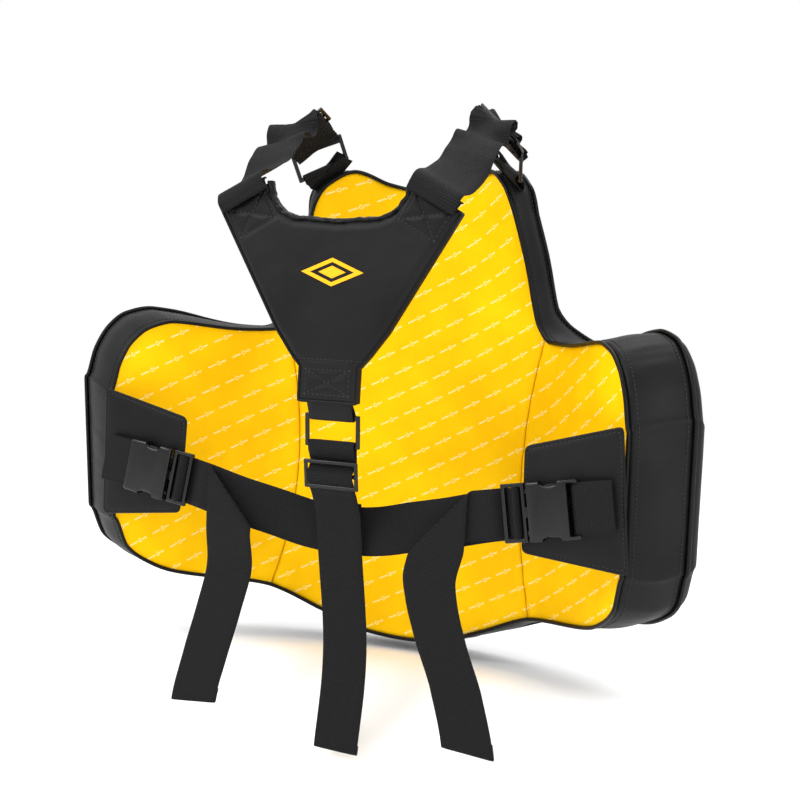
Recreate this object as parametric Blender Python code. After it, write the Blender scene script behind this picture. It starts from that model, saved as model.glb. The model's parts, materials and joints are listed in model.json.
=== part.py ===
"""Boxing trainer's chest protector, worn on the front of the body and closed at the back.

Units are metres, +Z is up, and the wearer stands on the -Y side of the panel.
The origin is the middle of the lining, on the face that touches the wearer.
The padded panel curves round the wearer: its shape is given in the developed
plane of the lining, as s (girth, measured round from the middle) and z (height),
and depth is measured outwards through the padding.
"""

import math

import bmesh
import bpy
from mathutils import Matrix, Vector

MM = 0.001
GAP = 0.5 * MM                      # space left between touching pieces

# --- padded panel -----------------------------------------------------------
HALF_GIRTH = 366 * MM               # middle of the lining to the wing's end
SEAM_TOP = 165 * MM                 # girth of the side seams at the armhole
SEAM_WAIST = 142 * MM               # and at mid height
SEAM_BOTTOM = 168 * MM
ARMHOLE_Z = 157 * MM                # height where side seam and armhole meet
HEADING = [(0, 0), (150, 24), (200, 46), (400, 54)]     # girth in mm, turn in degrees
WING_LEAN = 0.12                    # the wings lean back towards their lower edge
HORN_CURL = 42 * MM                 # how far the shoulder horns curl to the wearer
TOP_EDGE = [(0, 317), (50, 325), (83, 336), (108, 319), (123, 293), (136, 243),
            (146, 195), (158, 166), (178, 150), (225, 147), (290, 150), (318, 142),
            (340, 124), (354, 100), (366, 66)]
BOTTOM_EDGE = [(0, -207), (40, -204), (104, -182), (153, -161), (172, -155), (200, -151),
               (270, -144), (300, -139), (330, -127), (352, -110), (366, -76)]

CHEST_DEPTH = 38 * MM
BELLY_DEPTH = 68 * MM
WING_DEPTH = 80 * MM
GUSSET_SHARE = 0.8                  # share of the depth that the gusset covers
COVER_ROUND = 16 * MM               # in-plane width of the front cover's rounded edge
CLOTH = 1.5 * MM                    # wall of covers and lining
PIPING_R = 2.2 * MM

CENTRE_COLUMNS = [0, 0.2, 0.36, 0.503, 0.58, 0.655, 0.745, 0.825, 0.885, 0.945, 1.0]
SIDE_COLUMNS = [0, 0.08, 0.18, 0.31, 0.46, 0.62, 0.76, 0.87, 0.94, 1.0]
PANEL_ROWS = 12
FOAM_ROWS = 7

# --- webbing and hardware ---------------------------------------------------
WEB = 50 * MM                       # waist and centre webbing
SHOULDER_WEB = 54 * MM
WEB_T = 2.0 * MM
RING_BAR = 4.5 * MM
RING_HEIGHT = 34 * MM
CENTRE_GLIDE = 30 * MM              # height of the adjusters
SHOULDER_GLIDE = 25 * MM
GLIDE_T = 3.2 * MM
GLIDE_LIFT = 6.0 * MM               # adjuster above the webbing it slides on
TAB_LEAN = math.radians(33)         # the centre tab leans out from its ring to the pad
BELT_SLOPE = math.radians(9.4)      # the belt drops from the wings to the middle

# --- harness ----------------------------------------------------------------
PAD_Y = -232 * MM                   # face of the back pad nearest the panel
PAD_T = 16 * MM
PAD_HALF = [(0, 252), (46, 255), (62, 262), (73, 275), (77, 291), (129, 262), (60, 146),
            (41, 121), (31, 110), (31, 76)]
EMBLEM_Z = 203 * MM
HINGE_X = 112 * MM                  # where the shoulder straps fold
HINGE_Y = -160 * MM
HINGE_Z = 346 * MM
HINGE_GAP = 2.5 * MM                # half the space left between the two lengths

# --- routes of the webbing, as (x, y, z) in mm for the right-hand side --------
RING_CENTRE = (113, -64, 346)
SHOULDER_RISE = (0.03, -0.95, 0.27)  # direction in which the strap leaves the ring
SHOULDER_BACK = [(111, -178, 331), (110, -198, 311), (108, -224, 296), (108, -247, 290),
                 (105, -254.5, 281), (101, -252.5, 273)]
CENTRE_STRAP = [(-225.5, 26), (-221, 8), (-212, -18), (-200, -45), (-189, -80), (-179, -130),
                (-172, -180), (-170, -235), (-173, -299)]      # (y, z) in mm
BELT_HALF = [(0, -180.5, -60), (40, -184, -56), (80, -191, -47), (120, -197, -38),
             (160, -200.6, -27), (198, -200.9, -19)]
BUCKLE_MOUTH = (204, -205, -18)
RIGHT_TAIL = [(150, -210, -38), (128, -210, -62), (116, -204, -100), (121, -194, -150),
              (136, -183, -210), (146, -175, -275)]
LEFT_TAIL = [(152, -210, -36), (139, -210, -62), (135, -203, -105), (146, -196, -160),
             (160, -190, -215), (171, -184, -271)]
ARM_OUTLINE = [(-1.4, 18.2), (-1.4, 22), (6, 22.4), (24, 25.9), (29, 25.9), (31.5, 24),
               (31.5, 21), (20, 18.4)]


# --- materials --------------------------------------------------------------
def make_material(name, colour, roughness, metallic=0.0):
    """A plain Principled material."""
    material = bpy.data.materials.new(name)
    material.use_nodes = True
    shader = material.node_tree.nodes["Principled BSDF"]
    shader.inputs["Base Color"].default_value = (*colour, 1.0)
    shader.inputs["Roughness"].default_value = roughness
    shader.inputs["Metallic"].default_value = metallic
    return material


# --- mesh helpers -----------------------------------------------------------
def add_object(name, bm, material, smooth=False):
    """Closes a bmesh into a named object with outward normals."""
    bmesh.ops.remove_doubles(bm, verts=bm.verts, dist=0.02 * MM)
    bmesh.ops.recalc_face_normals(bm, faces=bm.faces)
    if bm.calc_volume(signed=True) < 0:
        bmesh.ops.reverse_faces(bm, faces=bm.faces)
    mesh = bpy.data.meshes.new(name)
    bm.to_mesh(mesh)
    bm.free()
    if smooth:
        mesh.shade_smooth()
        mesh.set_sharp_from_angle(angle=math.radians(35))
    mesh.materials.append(material)
    obj = bpy.data.objects.new(name, mesh)
    bpy.context.scene.collection.objects.link(obj)
    return obj


def skin(bm, rings, closed_ring=True, closed_run=False):
    """Quads between successive rings of points. Returns the rings' vertices."""
    made = [[bm.verts.new(p) for p in ring] for ring in rings]
    count = len(made[0])
    steps = count if closed_ring else count - 1
    runs = len(made) if closed_run else len(made) - 1
    for i in range(runs):
        here, there = made[i], made[(i + 1) % len(made)]
        for j in range(steps):
            k = (j + 1) % count
            bm.faces.new((here[j], here[k], there[k], there[j]))
    return made


def slab(name, outer, inner, material):
    """A closed solid between two grids of points with the same rows and columns."""
    bm = bmesh.new()
    faces = []
    for grid in (outer, inner):
        faces.append(skin(bm, grid, closed_ring=False))
    rows, columns = len(outer), len(outer[0])
    border = [(0, j) for j in range(columns)]
    border += [(i, columns - 1) for i in range(1, rows)]
    border += [(rows - 1, j) for j in range(columns - 2, -1, -1)]
    border += [(i, 0) for i in range(rows - 2, 0, -1)]
    for (i, j), (k, m) in zip(border, border[1:] + border[:1]):
        bm.faces.new((faces[0][i][j], faces[0][k][m], faces[1][k][m], faces[1][i][j]))
    return add_object(name, bm, material)


def tube_loop(name, path, normals, radius, material, sides=5):
    """A closed tube round a closed path. normals lie across the path at each point."""
    rings = []
    for i, centre in enumerate(path):
        along = (path[(i + 1) % len(path)] - path[i - 1]).normalized()
        side = normals[i].normalized()
        up = along.cross(side).normalized()
        turn = [2 * math.pi * k / sides for k in range(sides)]
        rings.append([centre + radius * (math.cos(a) * side + math.sin(a) * up)
                      for a in turn])
    bm = bmesh.new()
    skin(bm, rings, closed_run=True)
    return add_object(name, bm, material, smooth=True)


def strap(name, path, across, width, material, thickness=WEB_T):
    """Flat webbing along path. across is one direction, or one for each point."""
    if isinstance(across, Vector):
        across = [across] * len(path)
    rings = []
    for i, centre in enumerate(path):
        ahead = path[min(i + 1, len(path) - 1)]
        behind = path[max(i - 1, 0)]
        along = (ahead - behind).normalized()
        side = (across[i] - across[i].dot(along) * along).normalized()
        face = along.cross(side)
        corners = [(1, 1), (-1, 1), (-1, -1), (1, -1)]
        rings.append([centre + a * side * width / 2 + b * face * thickness / 2
                      for a, b in corners])
    bm = bmesh.new()
    made = skin(bm, rings)
    bm.faces.new(made[0])
    bm.faces.new(made[-1])
    return add_object(name, bm, material)


def smooth_path(points, per_span=4):
    """Points on a Catmull-Rom curve through the given points."""
    path = []
    ends = [2 * points[0] - points[1], *points, 2 * points[-1] - points[-2]]
    for a, b, c, d in zip(ends, ends[1:], ends[2:], ends[3:]):
        for k in range(per_span):
            t = k / per_span
            path.append(0.5 * (2 * b + (c - a) * t + (2 * a - 5 * b + 4 * c - d) * t * t
                               + (3 * b - a - 3 * c + d) * t ** 3))
    return [*path, points[-1].copy()]


def blended(first, last, count):
    """count directions that turn evenly from first to last."""
    return [first.lerp(last, k / (count - 1)).normalized() for k in range(count)]


def plate(name, xs, zs, holes, thickness, material, matrix, bevel=0.8 * MM):
    """A flat plate in the XZ plane, cut from the cells of a grid less its holes."""
    bm = bmesh.new()
    grid = [[bm.verts.new((x, 0, z)) for x in xs] for z in zs]
    for i in range(len(zs) - 1):
        for j in range(len(xs) - 1):
            if (i, j) not in holes:
                bm.faces.new((grid[i][j], grid[i][j + 1], grid[i + 1][j + 1],
                              grid[i + 1][j]))
    made = bmesh.ops.extrude_face_region(bm, geom=list(bm.faces))
    moved = [v for v in made["geom"] if isinstance(v, bmesh.types.BMVert)]
    bmesh.ops.translate(bm, verts=moved, vec=(0, thickness, 0))
    bmesh.ops.translate(bm, verts=bm.verts, vec=(0, -thickness / 2, 0))
    bmesh.ops.recalc_face_normals(bm, faces=bm.faces)
    sharp = [e for e in bm.edges
             if len(e.link_faces) == 2 and e.calc_face_angle(0) > math.radians(60)]
    bmesh.ops.bevel(bm, geom=sharp, offset=bevel, segments=1, affect="EDGES")
    bmesh.ops.dissolve_limit(bm, angle_limit=math.radians(1), verts=bm.verts,
                             edges=bm.edges)
    bmesh.ops.triangulate(bm, faces=bm.faces)
    bm.transform(matrix)
    return add_object(name, bm, material)


def prism(name, outline, low, high, material, matrix):
    """An outline of (x, z) points extruded along Y from low to high."""
    bm = bmesh.new()
    rings = [[Vector((x, y, z)) for x, z in outline] for y in (low, high)]
    made = skin(bm, rings)
    bm.faces.new(made[0])
    bm.faces.new(made[1])
    bmesh.ops.recalc_face_normals(bm, faces=bm.faces)
    bmesh.ops.triangulate(bm, faces=bm.faces)
    bm.transform(matrix)
    return add_object(name, bm, material)


def axes_matrix(origin, x_axis, z_axis):
    """A frame at origin whose X and Z run along two perpendicular directions."""
    x_axis = x_axis.normalized()
    z_axis = (z_axis - z_axis.dot(x_axis) * x_axis).normalized()
    y_axis = z_axis.cross(x_axis)
    turned = Matrix((x_axis, y_axis, z_axis)).transposed().to_4x4()
    return Matrix.Translation(origin) @ turned


# --- the panel's surface ----------------------------------------------------
def smoothstep(x):
    """0 below 0, 1 above 1, and an easy curve between."""
    x = min(1.0, max(0.0, x))
    return x * x * (3 - 2 * x)


def along_knots(knots, x):
    """Height in metres on a smooth monotone curve through (mm, mm) knots."""
    x = min(max(x / MM, knots[0][0]), knots[-1][0])
    slopes = []
    for i in range(len(knots)):
        spans = [(knots[k + 1][1] - knots[k][1]) / (knots[k + 1][0] - knots[k][0])
                 for k in (i - 1, i) if 0 <= k < len(knots) - 1]
        same_way = len(spans) == 2 and spans[0] * spans[1] > 0
        slopes.append(2 * spans[0] * spans[1] / (spans[0] + spans[1]) if same_way else 0)
    for (x0, y0), (x1, y1), m0, m1 in zip(knots, knots[1:], slopes, slopes[1:]):
        if x <= x1:
            h = x1 - x0
            t = (x - x0) / h
            return MM * (y0 * (1 + 2 * t) * (1 - t) ** 2 + h * m0 * t * (1 - t) ** 2
                         + y1 * t * t * (3 - 2 * t) + h * m1 * t * t * (t - 1))
    return MM * knots[-1][1]


def turn_at(girth):
    """Direction of the lining at a girth, in radians from the X axis."""
    girth = girth / MM
    for (g0, a0), (g1, a1) in zip(HEADING, HEADING[1:]):
        if girth <= g1:
            return math.radians(a0 + (a1 - a0) * (girth - g0) / (g1 - g0))
    return math.radians(HEADING[-1][1])


def trace_girth(step=2 * MM, count=210):
    """The lining's plan curve as (x, y) at every step of girth."""
    x, y = 0.0, 0.0
    curve = [(x, y)]
    for k in range(count):
        angle = turn_at((k + 0.5) * step)
        x += step * math.cos(angle)
        y -= step * math.sin(angle)
        curve.append((x, y))
    return curve


PLAN = trace_girth()


def lining_point(s, z):
    """The point of the lining's inner face at girth s and height z."""
    place = abs(s) / (2 * MM)
    k = min(int(place), len(PLAN) - 2)
    t = place - k
    x = PLAN[k][0] * (1 - t) + PLAN[k + 1][0] * t
    y = PLAN[k][1] * (1 - t) + PLAN[k + 1][1] * t
    y -= WING_LEAN * z * smoothstep((abs(s) - 0.15) / 0.2)
    y -= HORN_CURL * smoothstep((z - 0.19) / 0.13) * smoothstep((abs(s) - 0.04) / 0.09)
    return Vector((math.copysign(x, s), y, z))


def outward(s, z):
    """Unit normal of the lining, away from the wearer."""
    d = 1 * MM
    across = lining_point(s + d, z) - lining_point(s - d, z)
    up = lining_point(s, z + d) - lining_point(s, z - d)
    return up.cross(across).normalized()


def depth_at(s, z):
    """Thickness of the padding."""
    centre = CHEST_DEPTH + (BELLY_DEPTH - CHEST_DEPTH) * smoothstep((0.21 - z) / 0.12)
    share = smoothstep((abs(s) - 0.12) / 0.08) * smoothstep((0.19 - z) / 0.04)
    return centre + (WING_DEPTH - centre) * share


def seam_girth(z):
    """Girth of the curved side seams at a height."""
    if z > 0:
        return SEAM_WAIST + (SEAM_TOP - SEAM_WAIST) * min(1, z / ARMHOLE_Z) ** 2
    return SEAM_WAIST + (SEAM_BOTTOM - SEAM_WAIST) * min(1, -z / ARMHOLE_Z) ** 2


def edge_heights(girth):
    """Lower and upper end of the panel at a girth."""
    return along_knots(BOTTOM_EDGE, girth), along_knots(TOP_EDGE, girth)


def flare(girth):
    """How far the gusset leans out at the top, bottom and end of the wings."""
    wing = smoothstep((girth - 0.17) / 0.1)
    return 10 * MM * wing, -3 * MM * wing, 7 * MM


def panel_point(s_share, height_share, depth_share, inset=0.0, flared=0.0, lift=0.0):
    """A point of the whole panel. s_share runs -1..1 across, height_share 0..1 up.

    inset moves it in from the outline, flared is the share of the gusset's lean,
    and lift is added to the depth.
    """
    girth = abs(s_share) * HALF_GIRTH
    low, high = edge_heights(girth)
    top_out, bottom_out, end_out = (flared * part for part in flare(girth))
    low += inset - bottom_out
    high += top_out - inset
    z = low + (high - low) * height_share
    in_s = inset * min(1, girth / (120 * MM))
    s = math.copysign(girth * (1 + end_out / HALF_GIRTH) - in_s, s_share)
    clamped = math.copysign(min(abs(s), HALF_GIRTH), s)
    base = lining_point(s, z)
    return base + outward(clamped, z) * (depth_at(s, z) * depth_share + lift)


def whole_columns():
    """Shares of the half girth at which the whole panel is divided."""
    seam = SEAM_TOP / HALF_GIRTH
    half = [c * seam for c in CENTRE_COLUMNS]
    half += [seam + c * (1 - seam) for c in SIDE_COLUMNS[1:]]
    return [-c for c in reversed(half[1:])] + half


def outline_loop(rows=PANEL_ROWS):
    """(s_share, height_share) pairs once round the panel's edge."""
    columns = whole_columns()
    heights = [k / rows for k in range(rows + 1)]
    loop = [(c, 0.0) for c in columns]
    loop += [(columns[-1], h) for h in heights[1:]]
    loop += [(c, 1.0) for c in reversed(columns[:-1])]
    loop += [(columns[0], h) for h in reversed(heights[1:-1])]
    return loop


def region_grid(kind, side, inset, depth_share, lift, rows=PANEL_ROWS, low_z=-1.0,
                high_z=1.0, reach=1.0):
    """Rows of points over the centre or a side region, between its curved seams."""
    columns = SIDE_COLUMNS
    if kind == "centre":
        columns = [-c for c in reversed(CENTRE_COLUMNS[1:])] + CENTRE_COLUMNS
    columns = [c * reach for c in columns]
    grid = []
    for i in range(rows + 1):
        row = []
        for c in columns:
            if kind == "centre":
                low = edge_heights(abs(c) * SEAM_BOTTOM)[0]
                high = edge_heights(abs(c) * SEAM_TOP)[1]
            else:
                low = edge_heights(SEAM_BOTTOM + c * (HALF_GIRTH - SEAM_BOTTOM))[0]
                high = edge_heights(SEAM_TOP + c * (HALF_GIRTH - SEAM_TOP))[1]
            low = max(low + inset, low_z)
            high = min(high - inset, high_z)
            z = low + (high - low) * i / rows
            seam = seam_girth(z)
            if kind == "centre":
                s = c * (seam - inset)
            else:
                s = seam + inset + c * (HALF_GIRTH - seam - 2 * inset)
                s *= side
            row.append(lining_point(s, z) + outward(s, z)
                       * (depth_at(s, z) * depth_share + lift))
        grid.append(row)
    return grid


# --- the padded panel's pieces ----------------------------------------------
def build_front_cover(material):
    """Outer skin of the padding, with a rounded edge down to the gusset."""
    columns = whole_columns()
    heights = [k / PANEL_ROWS for k in range(PANEL_ROWS + 1)]
    walls = []
    for skin_in in (0.0, CLOTH):
        grid = []
        rim = dict(inset=skin_in, flared=1.0, depth_share=GUSSET_SHARE, lift=GAP)
        face = dict(inset=COVER_ROUND + skin_in, flared=1.0, depth_share=1.0, lift=-skin_in)
        first, last = columns[0], columns[-1]
        for h, edge in [(0.0, rim)] + [(h, face) for h in heights] + [(1.0, rim)]:
            row = [panel_point(first, h, **rim)]
            row += [panel_point(c, h, **edge) for c in columns]
            row.append(panel_point(last, h, **rim))
            grid.append(row)
        corner_nudge(grid)
        walls.append(grid)
    return slab("front_cover", walls[0], walls[1], material)


def corner_nudge(grid):
    """Spreads the two rim points that would meet at each corner of a grid."""
    last_row, last_col = len(grid) - 1, len(grid[0]) - 1
    for i, near_i in ((0, 1), (last_row, last_row - 1)):
        for j, near_j in ((0, 1), (last_col, last_col - 1)):
            next_up = grid[near_i + (1 if i == 0 else -1)][j]
            next_in = grid[i][near_j + (1 if j == 0 else -1)]
            grid[near_i][j] = grid[i][j].lerp(next_up, 0.3)
            grid[i][near_j] = grid[i][j].lerp(next_in, 0.3)


def build_gusset(material):
    """The wall that joins lining and front cover all the way round."""
    loop = outline_loop()
    rings = []
    for share, skin_in, lift in ((0.0, 0.0, 0.0), (GUSSET_SHARE, 0.0, -GAP),
                                 (GUSSET_SHARE, CLOTH, -GAP), (0.0, CLOTH, 0.0)):
        flared = 1.0 if share else 0.0
        rings.append([panel_point(s, h, share, inset=skin_in, flared=flared, lift=lift)
                      for s, h in loop])
    bm = bmesh.new()
    skin(bm, rings, closed_run=True)
    return add_object("gusset", bm, material)


def build_piping(name, depth_share, flared, out, lift, material):
    """A corded piping that follows the panel's outline, out from the edge."""
    loop = outline_loop()
    edge = [panel_point(s, h, depth_share, flared=flared, lift=lift) for s, h in loop]
    deeper = [panel_point(s, h, depth_share, flared=flared, lift=lift + 1 * MM)
              for s, h in loop]
    sides = []
    for i, point in enumerate(edge):
        along = edge[(i + 1) % len(edge)] - edge[i - 1]
        sides.append((deeper[i] - point).cross(along).normalized())
    path = [point + side * out for point, side in zip(edge, sides)]
    return tube_loop(name, path, sides, PIPING_R, material)


def build_linings(material):
    """Three lining panels that meet at the side seams."""
    for name, kind, side in (("centre_lining", "centre", 1), ("left_lining", "side", -1),
                             ("right_lining", "side", 1)):
        inset = 4.2 * MM
        inner = region_grid(kind, side, inset, 0.0, 0.0)
        outer = region_grid(kind, side, inset, 0.0, CLOTH)
        slab(name, outer, inner, material)


def build_foams(material):
    """The foam blocks that fill the shell."""
    edge = 8 * MM
    round_off = COVER_ROUND + 10 * MM
    spans = [("chest_foam", "centre", 1, 0.170, 1.0, 0.8),
             ("belly_foam", "centre", 1, -1.0, 0.166, 1.0),
             ("left_side_foam", "side", -1, -1.0, 1.0, 1.0),
             ("right_side_foam", "side", 1, -1.0, 1.0, 1.0)]
    for name, kind, side, low_z, high_z, reach in spans:
        inner = region_grid(kind, side, edge, 0.0, 5 * MM, FOAM_ROWS, low_z, high_z, reach)
        outer = region_grid(kind, side, round_off, 1.0, -8 * MM, FOAM_ROWS, low_z, high_z,
                            reach)
        slab(name, outer, inner, material)


# --- shoulder and centre webbing ---------------------------------------------
def mirrored(points, side):
    """Points given for the right-hand side in mm, as vectors on either side."""
    return [Vector((side * x, y, z)) * MM for x, y, z in points]


def horn_edge(side):
    """Direction of the front horn's top edge, pointing away from the middle."""
    inner = lining_point(side * 80 * MM, 334 * MM)
    outer = lining_point(side * 118 * MM, 308 * MM)
    return (outer - inner).normalized()


def build_ring(name, frame, web, material):
    """A moulded rectangular loop with one slot."""
    half = web / 2 + 1 * MM
    xs = [-half - RING_BAR, -half, half, half + RING_BAR]
    top = RING_HEIGHT / 2
    zs = [-top, -top + RING_BAR, top - RING_BAR, top]
    return plate(name, xs, zs, {(1, 1)}, GLIDE_T, material, frame)


def build_glide(name, frame, web, height, material):
    """A tri-glide adjuster: a frame with a bar across the middle."""
    half = web / 2 + 1 * MM
    rail = 4 * MM
    xs = [-half - rail, -half, half, half + rail]
    top = height / 2
    zs = [-top, -top + rail, -rail / 2, rail / 2, top - rail, top]
    return plate(name, xs, zs, {(1, 1), (3, 1)}, GLIDE_T, material, frame)


def loop_round_bar(frame, bar_z, reach_a, reach_b, toward, lean=0.0):
    """Path of webbing that comes up, turns round a bar and goes back.

    frame is the ring's own frame, toward is +1 or -1 for the side along its Z from
    which the webbing comes, reach_a and reach_b are the two ends in that frame, and
    lean is the angle by which the webbing leaves that side for the ring's -Y.
    """
    radius = 4.2 * MM
    turn = [lean + math.pi * k / 6 for k in range(7)]
    bend = [Vector((0, -radius * math.cos(a), bar_z - toward * radius * math.sin(a)))
            for a in turn]
    return [frame @ p for p in [reach_a, *bend, reach_b]]


def build_shoulder(side, name, materials):
    """Front tab, ring, adjuster and the two lengths of one shoulder strap."""
    edge = horn_edge(side)
    ring_centre = mirrored([RING_CENTRE], side)[0]
    frame = axes_matrix(ring_centre, side * edge, Vector((0.02 * side, -0.41, 0.91)))
    build_ring(name + "_shoulder_ring", frame, SHOULDER_WEB, materials["acetal"])

    bar_z = RING_HEIGHT / 2 - RING_BAR / 2
    root = panel_point(side * 97 * MM / HALF_GIRTH, 1.0, 0.3) + Vector((0, 0, 4.5 * MM))
    base = frame.inverted() @ root
    base.x = 0
    apart = Vector((0, 1.4 * MM, 0))
    path = loop_round_bar(frame, -bar_z, base - apart, base + apart, -1)
    strap(name + "_front_tab", path, edge, SHOULDER_WEB - 4 * MM, materials["webbing"],
          thickness=1.6 * MM)

    hinge = Vector((side * HINGE_X, HINGE_Y, HINGE_Z))
    ring_top = frame @ Vector((0, -5.6 * MM, bar_z + 1 * MM))
    rise = Vector((SHOULDER_RISE[0] * side, *SHOULDER_RISE[1:])).normalized()
    knots = [ring_top + rise * step * MM for step in (0, 26, 50)]
    knee = hinge + Vector((0, 18, 10)) * MM
    front = smooth_path([*knots, knee, hinge + Vector((0, HINGE_GAP, 0))], 4)
    turned = [edge] * 9 + blended(edge, Vector((side, 0, 0)), len(front) - 10)
    turned += [Vector((side, 0, 0))]
    strap(name + "_strap_front", front, turned, SHOULDER_WEB, materials["webbing"])

    knots = [hinge - Vector((0, HINGE_GAP, 0)), *mirrored(SHOULDER_BACK, side)]
    back = smooth_path(knots, 4)
    horn_across = Vector((0.888 * side, 0, -0.46))
    turned = [Vector((side, 0, 0))] * 2
    turned += blended(Vector((side, 0, 0)), horn_across, 8)
    turned += [horn_across] * (len(back) - len(turned))
    strap(name + "_strap_back", back, turned, SHOULDER_WEB, materials["webbing"])

    across = (edge - edge.dot(rise) * rise).normalized() * side
    glide = axes_matrix(ring_top + rise * 27 * MM, across, rise)
    above = glide.col[1].xyz * GLIDE_LIFT
    build_glide(name + "_shoulder_glide", Matrix.Translation(above) @ glide, SHOULDER_WEB,
                SHOULDER_GLIDE, materials["acetal"])


def build_centre(materials):
    """Tab under the back pad, ring, adjuster, hanging strap and its free end."""
    x_axis, up = Vector((1, 0, 0)), Vector((0, -0.12, 0.99))
    ring = axes_matrix(Vector((0, -227, 46)) * MM, x_axis, up)
    build_ring("centre_ring", ring, WEB, materials["acetal"])
    bar_z = RING_HEIGHT / 2 - RING_BAR / 2
    ends = [ring.inverted() @ Vector((0, (-240 + dy) * MM, 74.5 * MM)) for dy in (-1.5, 1.5)]
    path = loop_round_bar(ring, bar_z, ends[0], ends[1], 1, TAB_LEAN)
    strap("centre_tab", path, x_axis, WEB - 2 * MM, materials["pu_black"],
          thickness=1.6 * MM)

    knots = [Vector((0, y, z)) * MM for y, z in CENTRE_STRAP]
    strap("centre_strap", smooth_path(knots, 3), x_axis, WEB, materials["webbing"])
    glide = axes_matrix(Vector((0, -225, 1)) * MM, x_axis, Vector((0, -0.2, 0.98)))
    build_glide("centre_glide", glide, WEB, CENTRE_GLIDE, materials["acetal"])


# --- back pad ------------------------------------------------------------------
def pad_outline(inset=0.0):
    """The Y-shaped pad's outline as (x, z), moved in by inset."""
    half = [(x * MM, z * MM) for x, z in PAD_HALF]
    points = half + [(-x, z) for x, z in reversed(half[1:])]
    moved = []
    for i, (x, z) in enumerate(points):
        x0, z0 = points[i - 1]
        x1, z1 = points[(i + 1) % len(points)]
        before = Vector((z - z0, x0 - x)).normalized()
        after = Vector((z1 - z, x - x1)).normalized()
        mitre = (before + after).normalized()
        mitre *= min(2.0, 1 / max(0.3, mitre.dot(after)))
        moved.append((x + mitre.x * inset, z + mitre.y * inset))
    return moved


def build_back_pad(materials):
    """Cover, foam, back sheet, piping, neck binding and emblem of the back pad."""
    front = PAD_Y - PAD_T
    rings = []
    for inset, y in ((0, PAD_Y), (0, front + 3 * MM), (3 * MM, front),
                     (3 * MM, front + CLOTH), (CLOTH, front + 4 * MM), (CLOTH, PAD_Y)):
        rings.append([Vector((x, y, z)) for x, z in pad_outline(inset)])
    bm = bmesh.new()
    made = skin(bm, rings[:3])
    bm.faces.new(made[2])
    inner = skin(bm, rings[3:])
    bm.faces.new(inner[0])
    for j in range(len(made[0])):
        k = (j + 1) % len(made[0])
        bm.faces.new((made[0][j], made[0][k], inner[2][k], inner[2][j]))
    bmesh.ops.recalc_face_normals(bm, faces=bm.faces)
    bmesh.ops.triangulate(bm, faces=bm.faces)
    add_object("back_pad_cover", bm, materials["pu_black"])

    identity = Matrix.Identity(4)
    foam = pad_outline(4 * MM)
    prism("back_pad_foam", foam, front + 3 * MM, PAD_Y - 2.6 * MM, materials["foam"], identity)
    sheet = pad_outline(2.2 * MM)
    prism("back_pad_lining", sheet, PAD_Y - 1.8 * MM, PAD_Y, materials["pu_black"], identity)

    path = [Vector((x, front + 4 * MM, z)) for x, z in pad_outline(-2.4 * MM)]
    path = [a.lerp(b, t) for a, b in zip(path, path[1:] + path[:1]) for t in (0, 0.5)]
    normals = [Vector((0, 1, 0))] * len(path)
    tube_loop("back_pad_piping", path, normals, 1.8 * MM, materials["pu_black"])

    neck = [Vector((x, PAD_Y - 4.5 * MM, z + 3 * MM)) for x, z in
            [(a * MM, b * MM) for a, b in PAD_HALF[:4]]]
    neck[-1].x -= 3 * MM
    run = [Vector((-p.x, p.y, p.z)) for p in reversed(neck[1:])] + neck
    strap("neck_binding", smooth_path(run, 2), Vector((0, 1, 0)), 8 * MM,
          materials["pu_black"])

    lozenge = [(0, 14), (34, 0), (0, -14), (-34, 0)]
    mark = [(x * MM, z * MM + EMBLEM_Z) for x, z in lozenge]
    prism("back_pad_emblem", mark, front - 1.1 * MM, front - 0.3 * MM,
          materials["emblem"], identity)


# --- waist belt, buckles and flaps ----------------------------------------------
def buckle_frame(side):
    """Buckle axes: X runs along the belt to the wing, Y away from the wearer."""
    along = Vector((side * math.cos(BELT_SLOPE), 0, math.sin(BELT_SLOPE)))
    mouth = mirrored([BUCKLE_MOUTH], side)[0]
    up = Vector((-side * math.sin(BELT_SLOPE), 0, math.cos(BELT_SLOPE)))
    turned = Matrix((along, Vector((0, 1, 0)), up)).transposed().to_4x4()
    return Matrix.Translation(mouth) @ turned


def box_object(name, low, high, matrix, material):
    """A box between two corners, placed by a matrix."""
    bm = bmesh.new()
    bmesh.ops.create_cube(bm, size=1)
    size = [b - a for a, b in zip(low, high)]
    middle = [(a + b) / 2 for a, b in zip(low, high)]
    bmesh.ops.scale(bm, vec=[s * MM for s in size], verts=bm.verts)
    bmesh.ops.translate(bm, vec=[m * MM for m in middle], verts=bm.verts)
    bm.transform(matrix)
    return add_object(name, bm, material)


def build_socket(side, name, materials):
    """Socket: a flat housing with a cavity, two finger windows and a webbing bar."""
    frame = buckle_frame(side)
    body = box_object(name, (0, -7, -29), (52, 7, 29), frame, materials["acetal"])
    cuts = {"cavity": ((-2, -4.5, -25), (37, 4.5, 25)),
            "windows": ((15.5, -4, -31), (32, 4, 31)),
            "slot": ((41, -9, -25.8), (47, 9, 25.8)),
            "bar_front": ((44, -10, -25.4), (54, -2.2, 25.4)),
            "bar_back": ((44, 2.2, -25.4), (54, 10, 25.4))}
    for part, (low, high) in cuts.items():
        cutter = box_object(name + "_" + part + "_cutter", low, high, frame,
                            materials["acetal"])
        cutter.hide_render = True
        cutter.display_type = "WIRE"
        cut = body.modifiers.new(part, "BOOLEAN")
        cut.object = cutter
        cut.operation = "DIFFERENCE"


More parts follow.
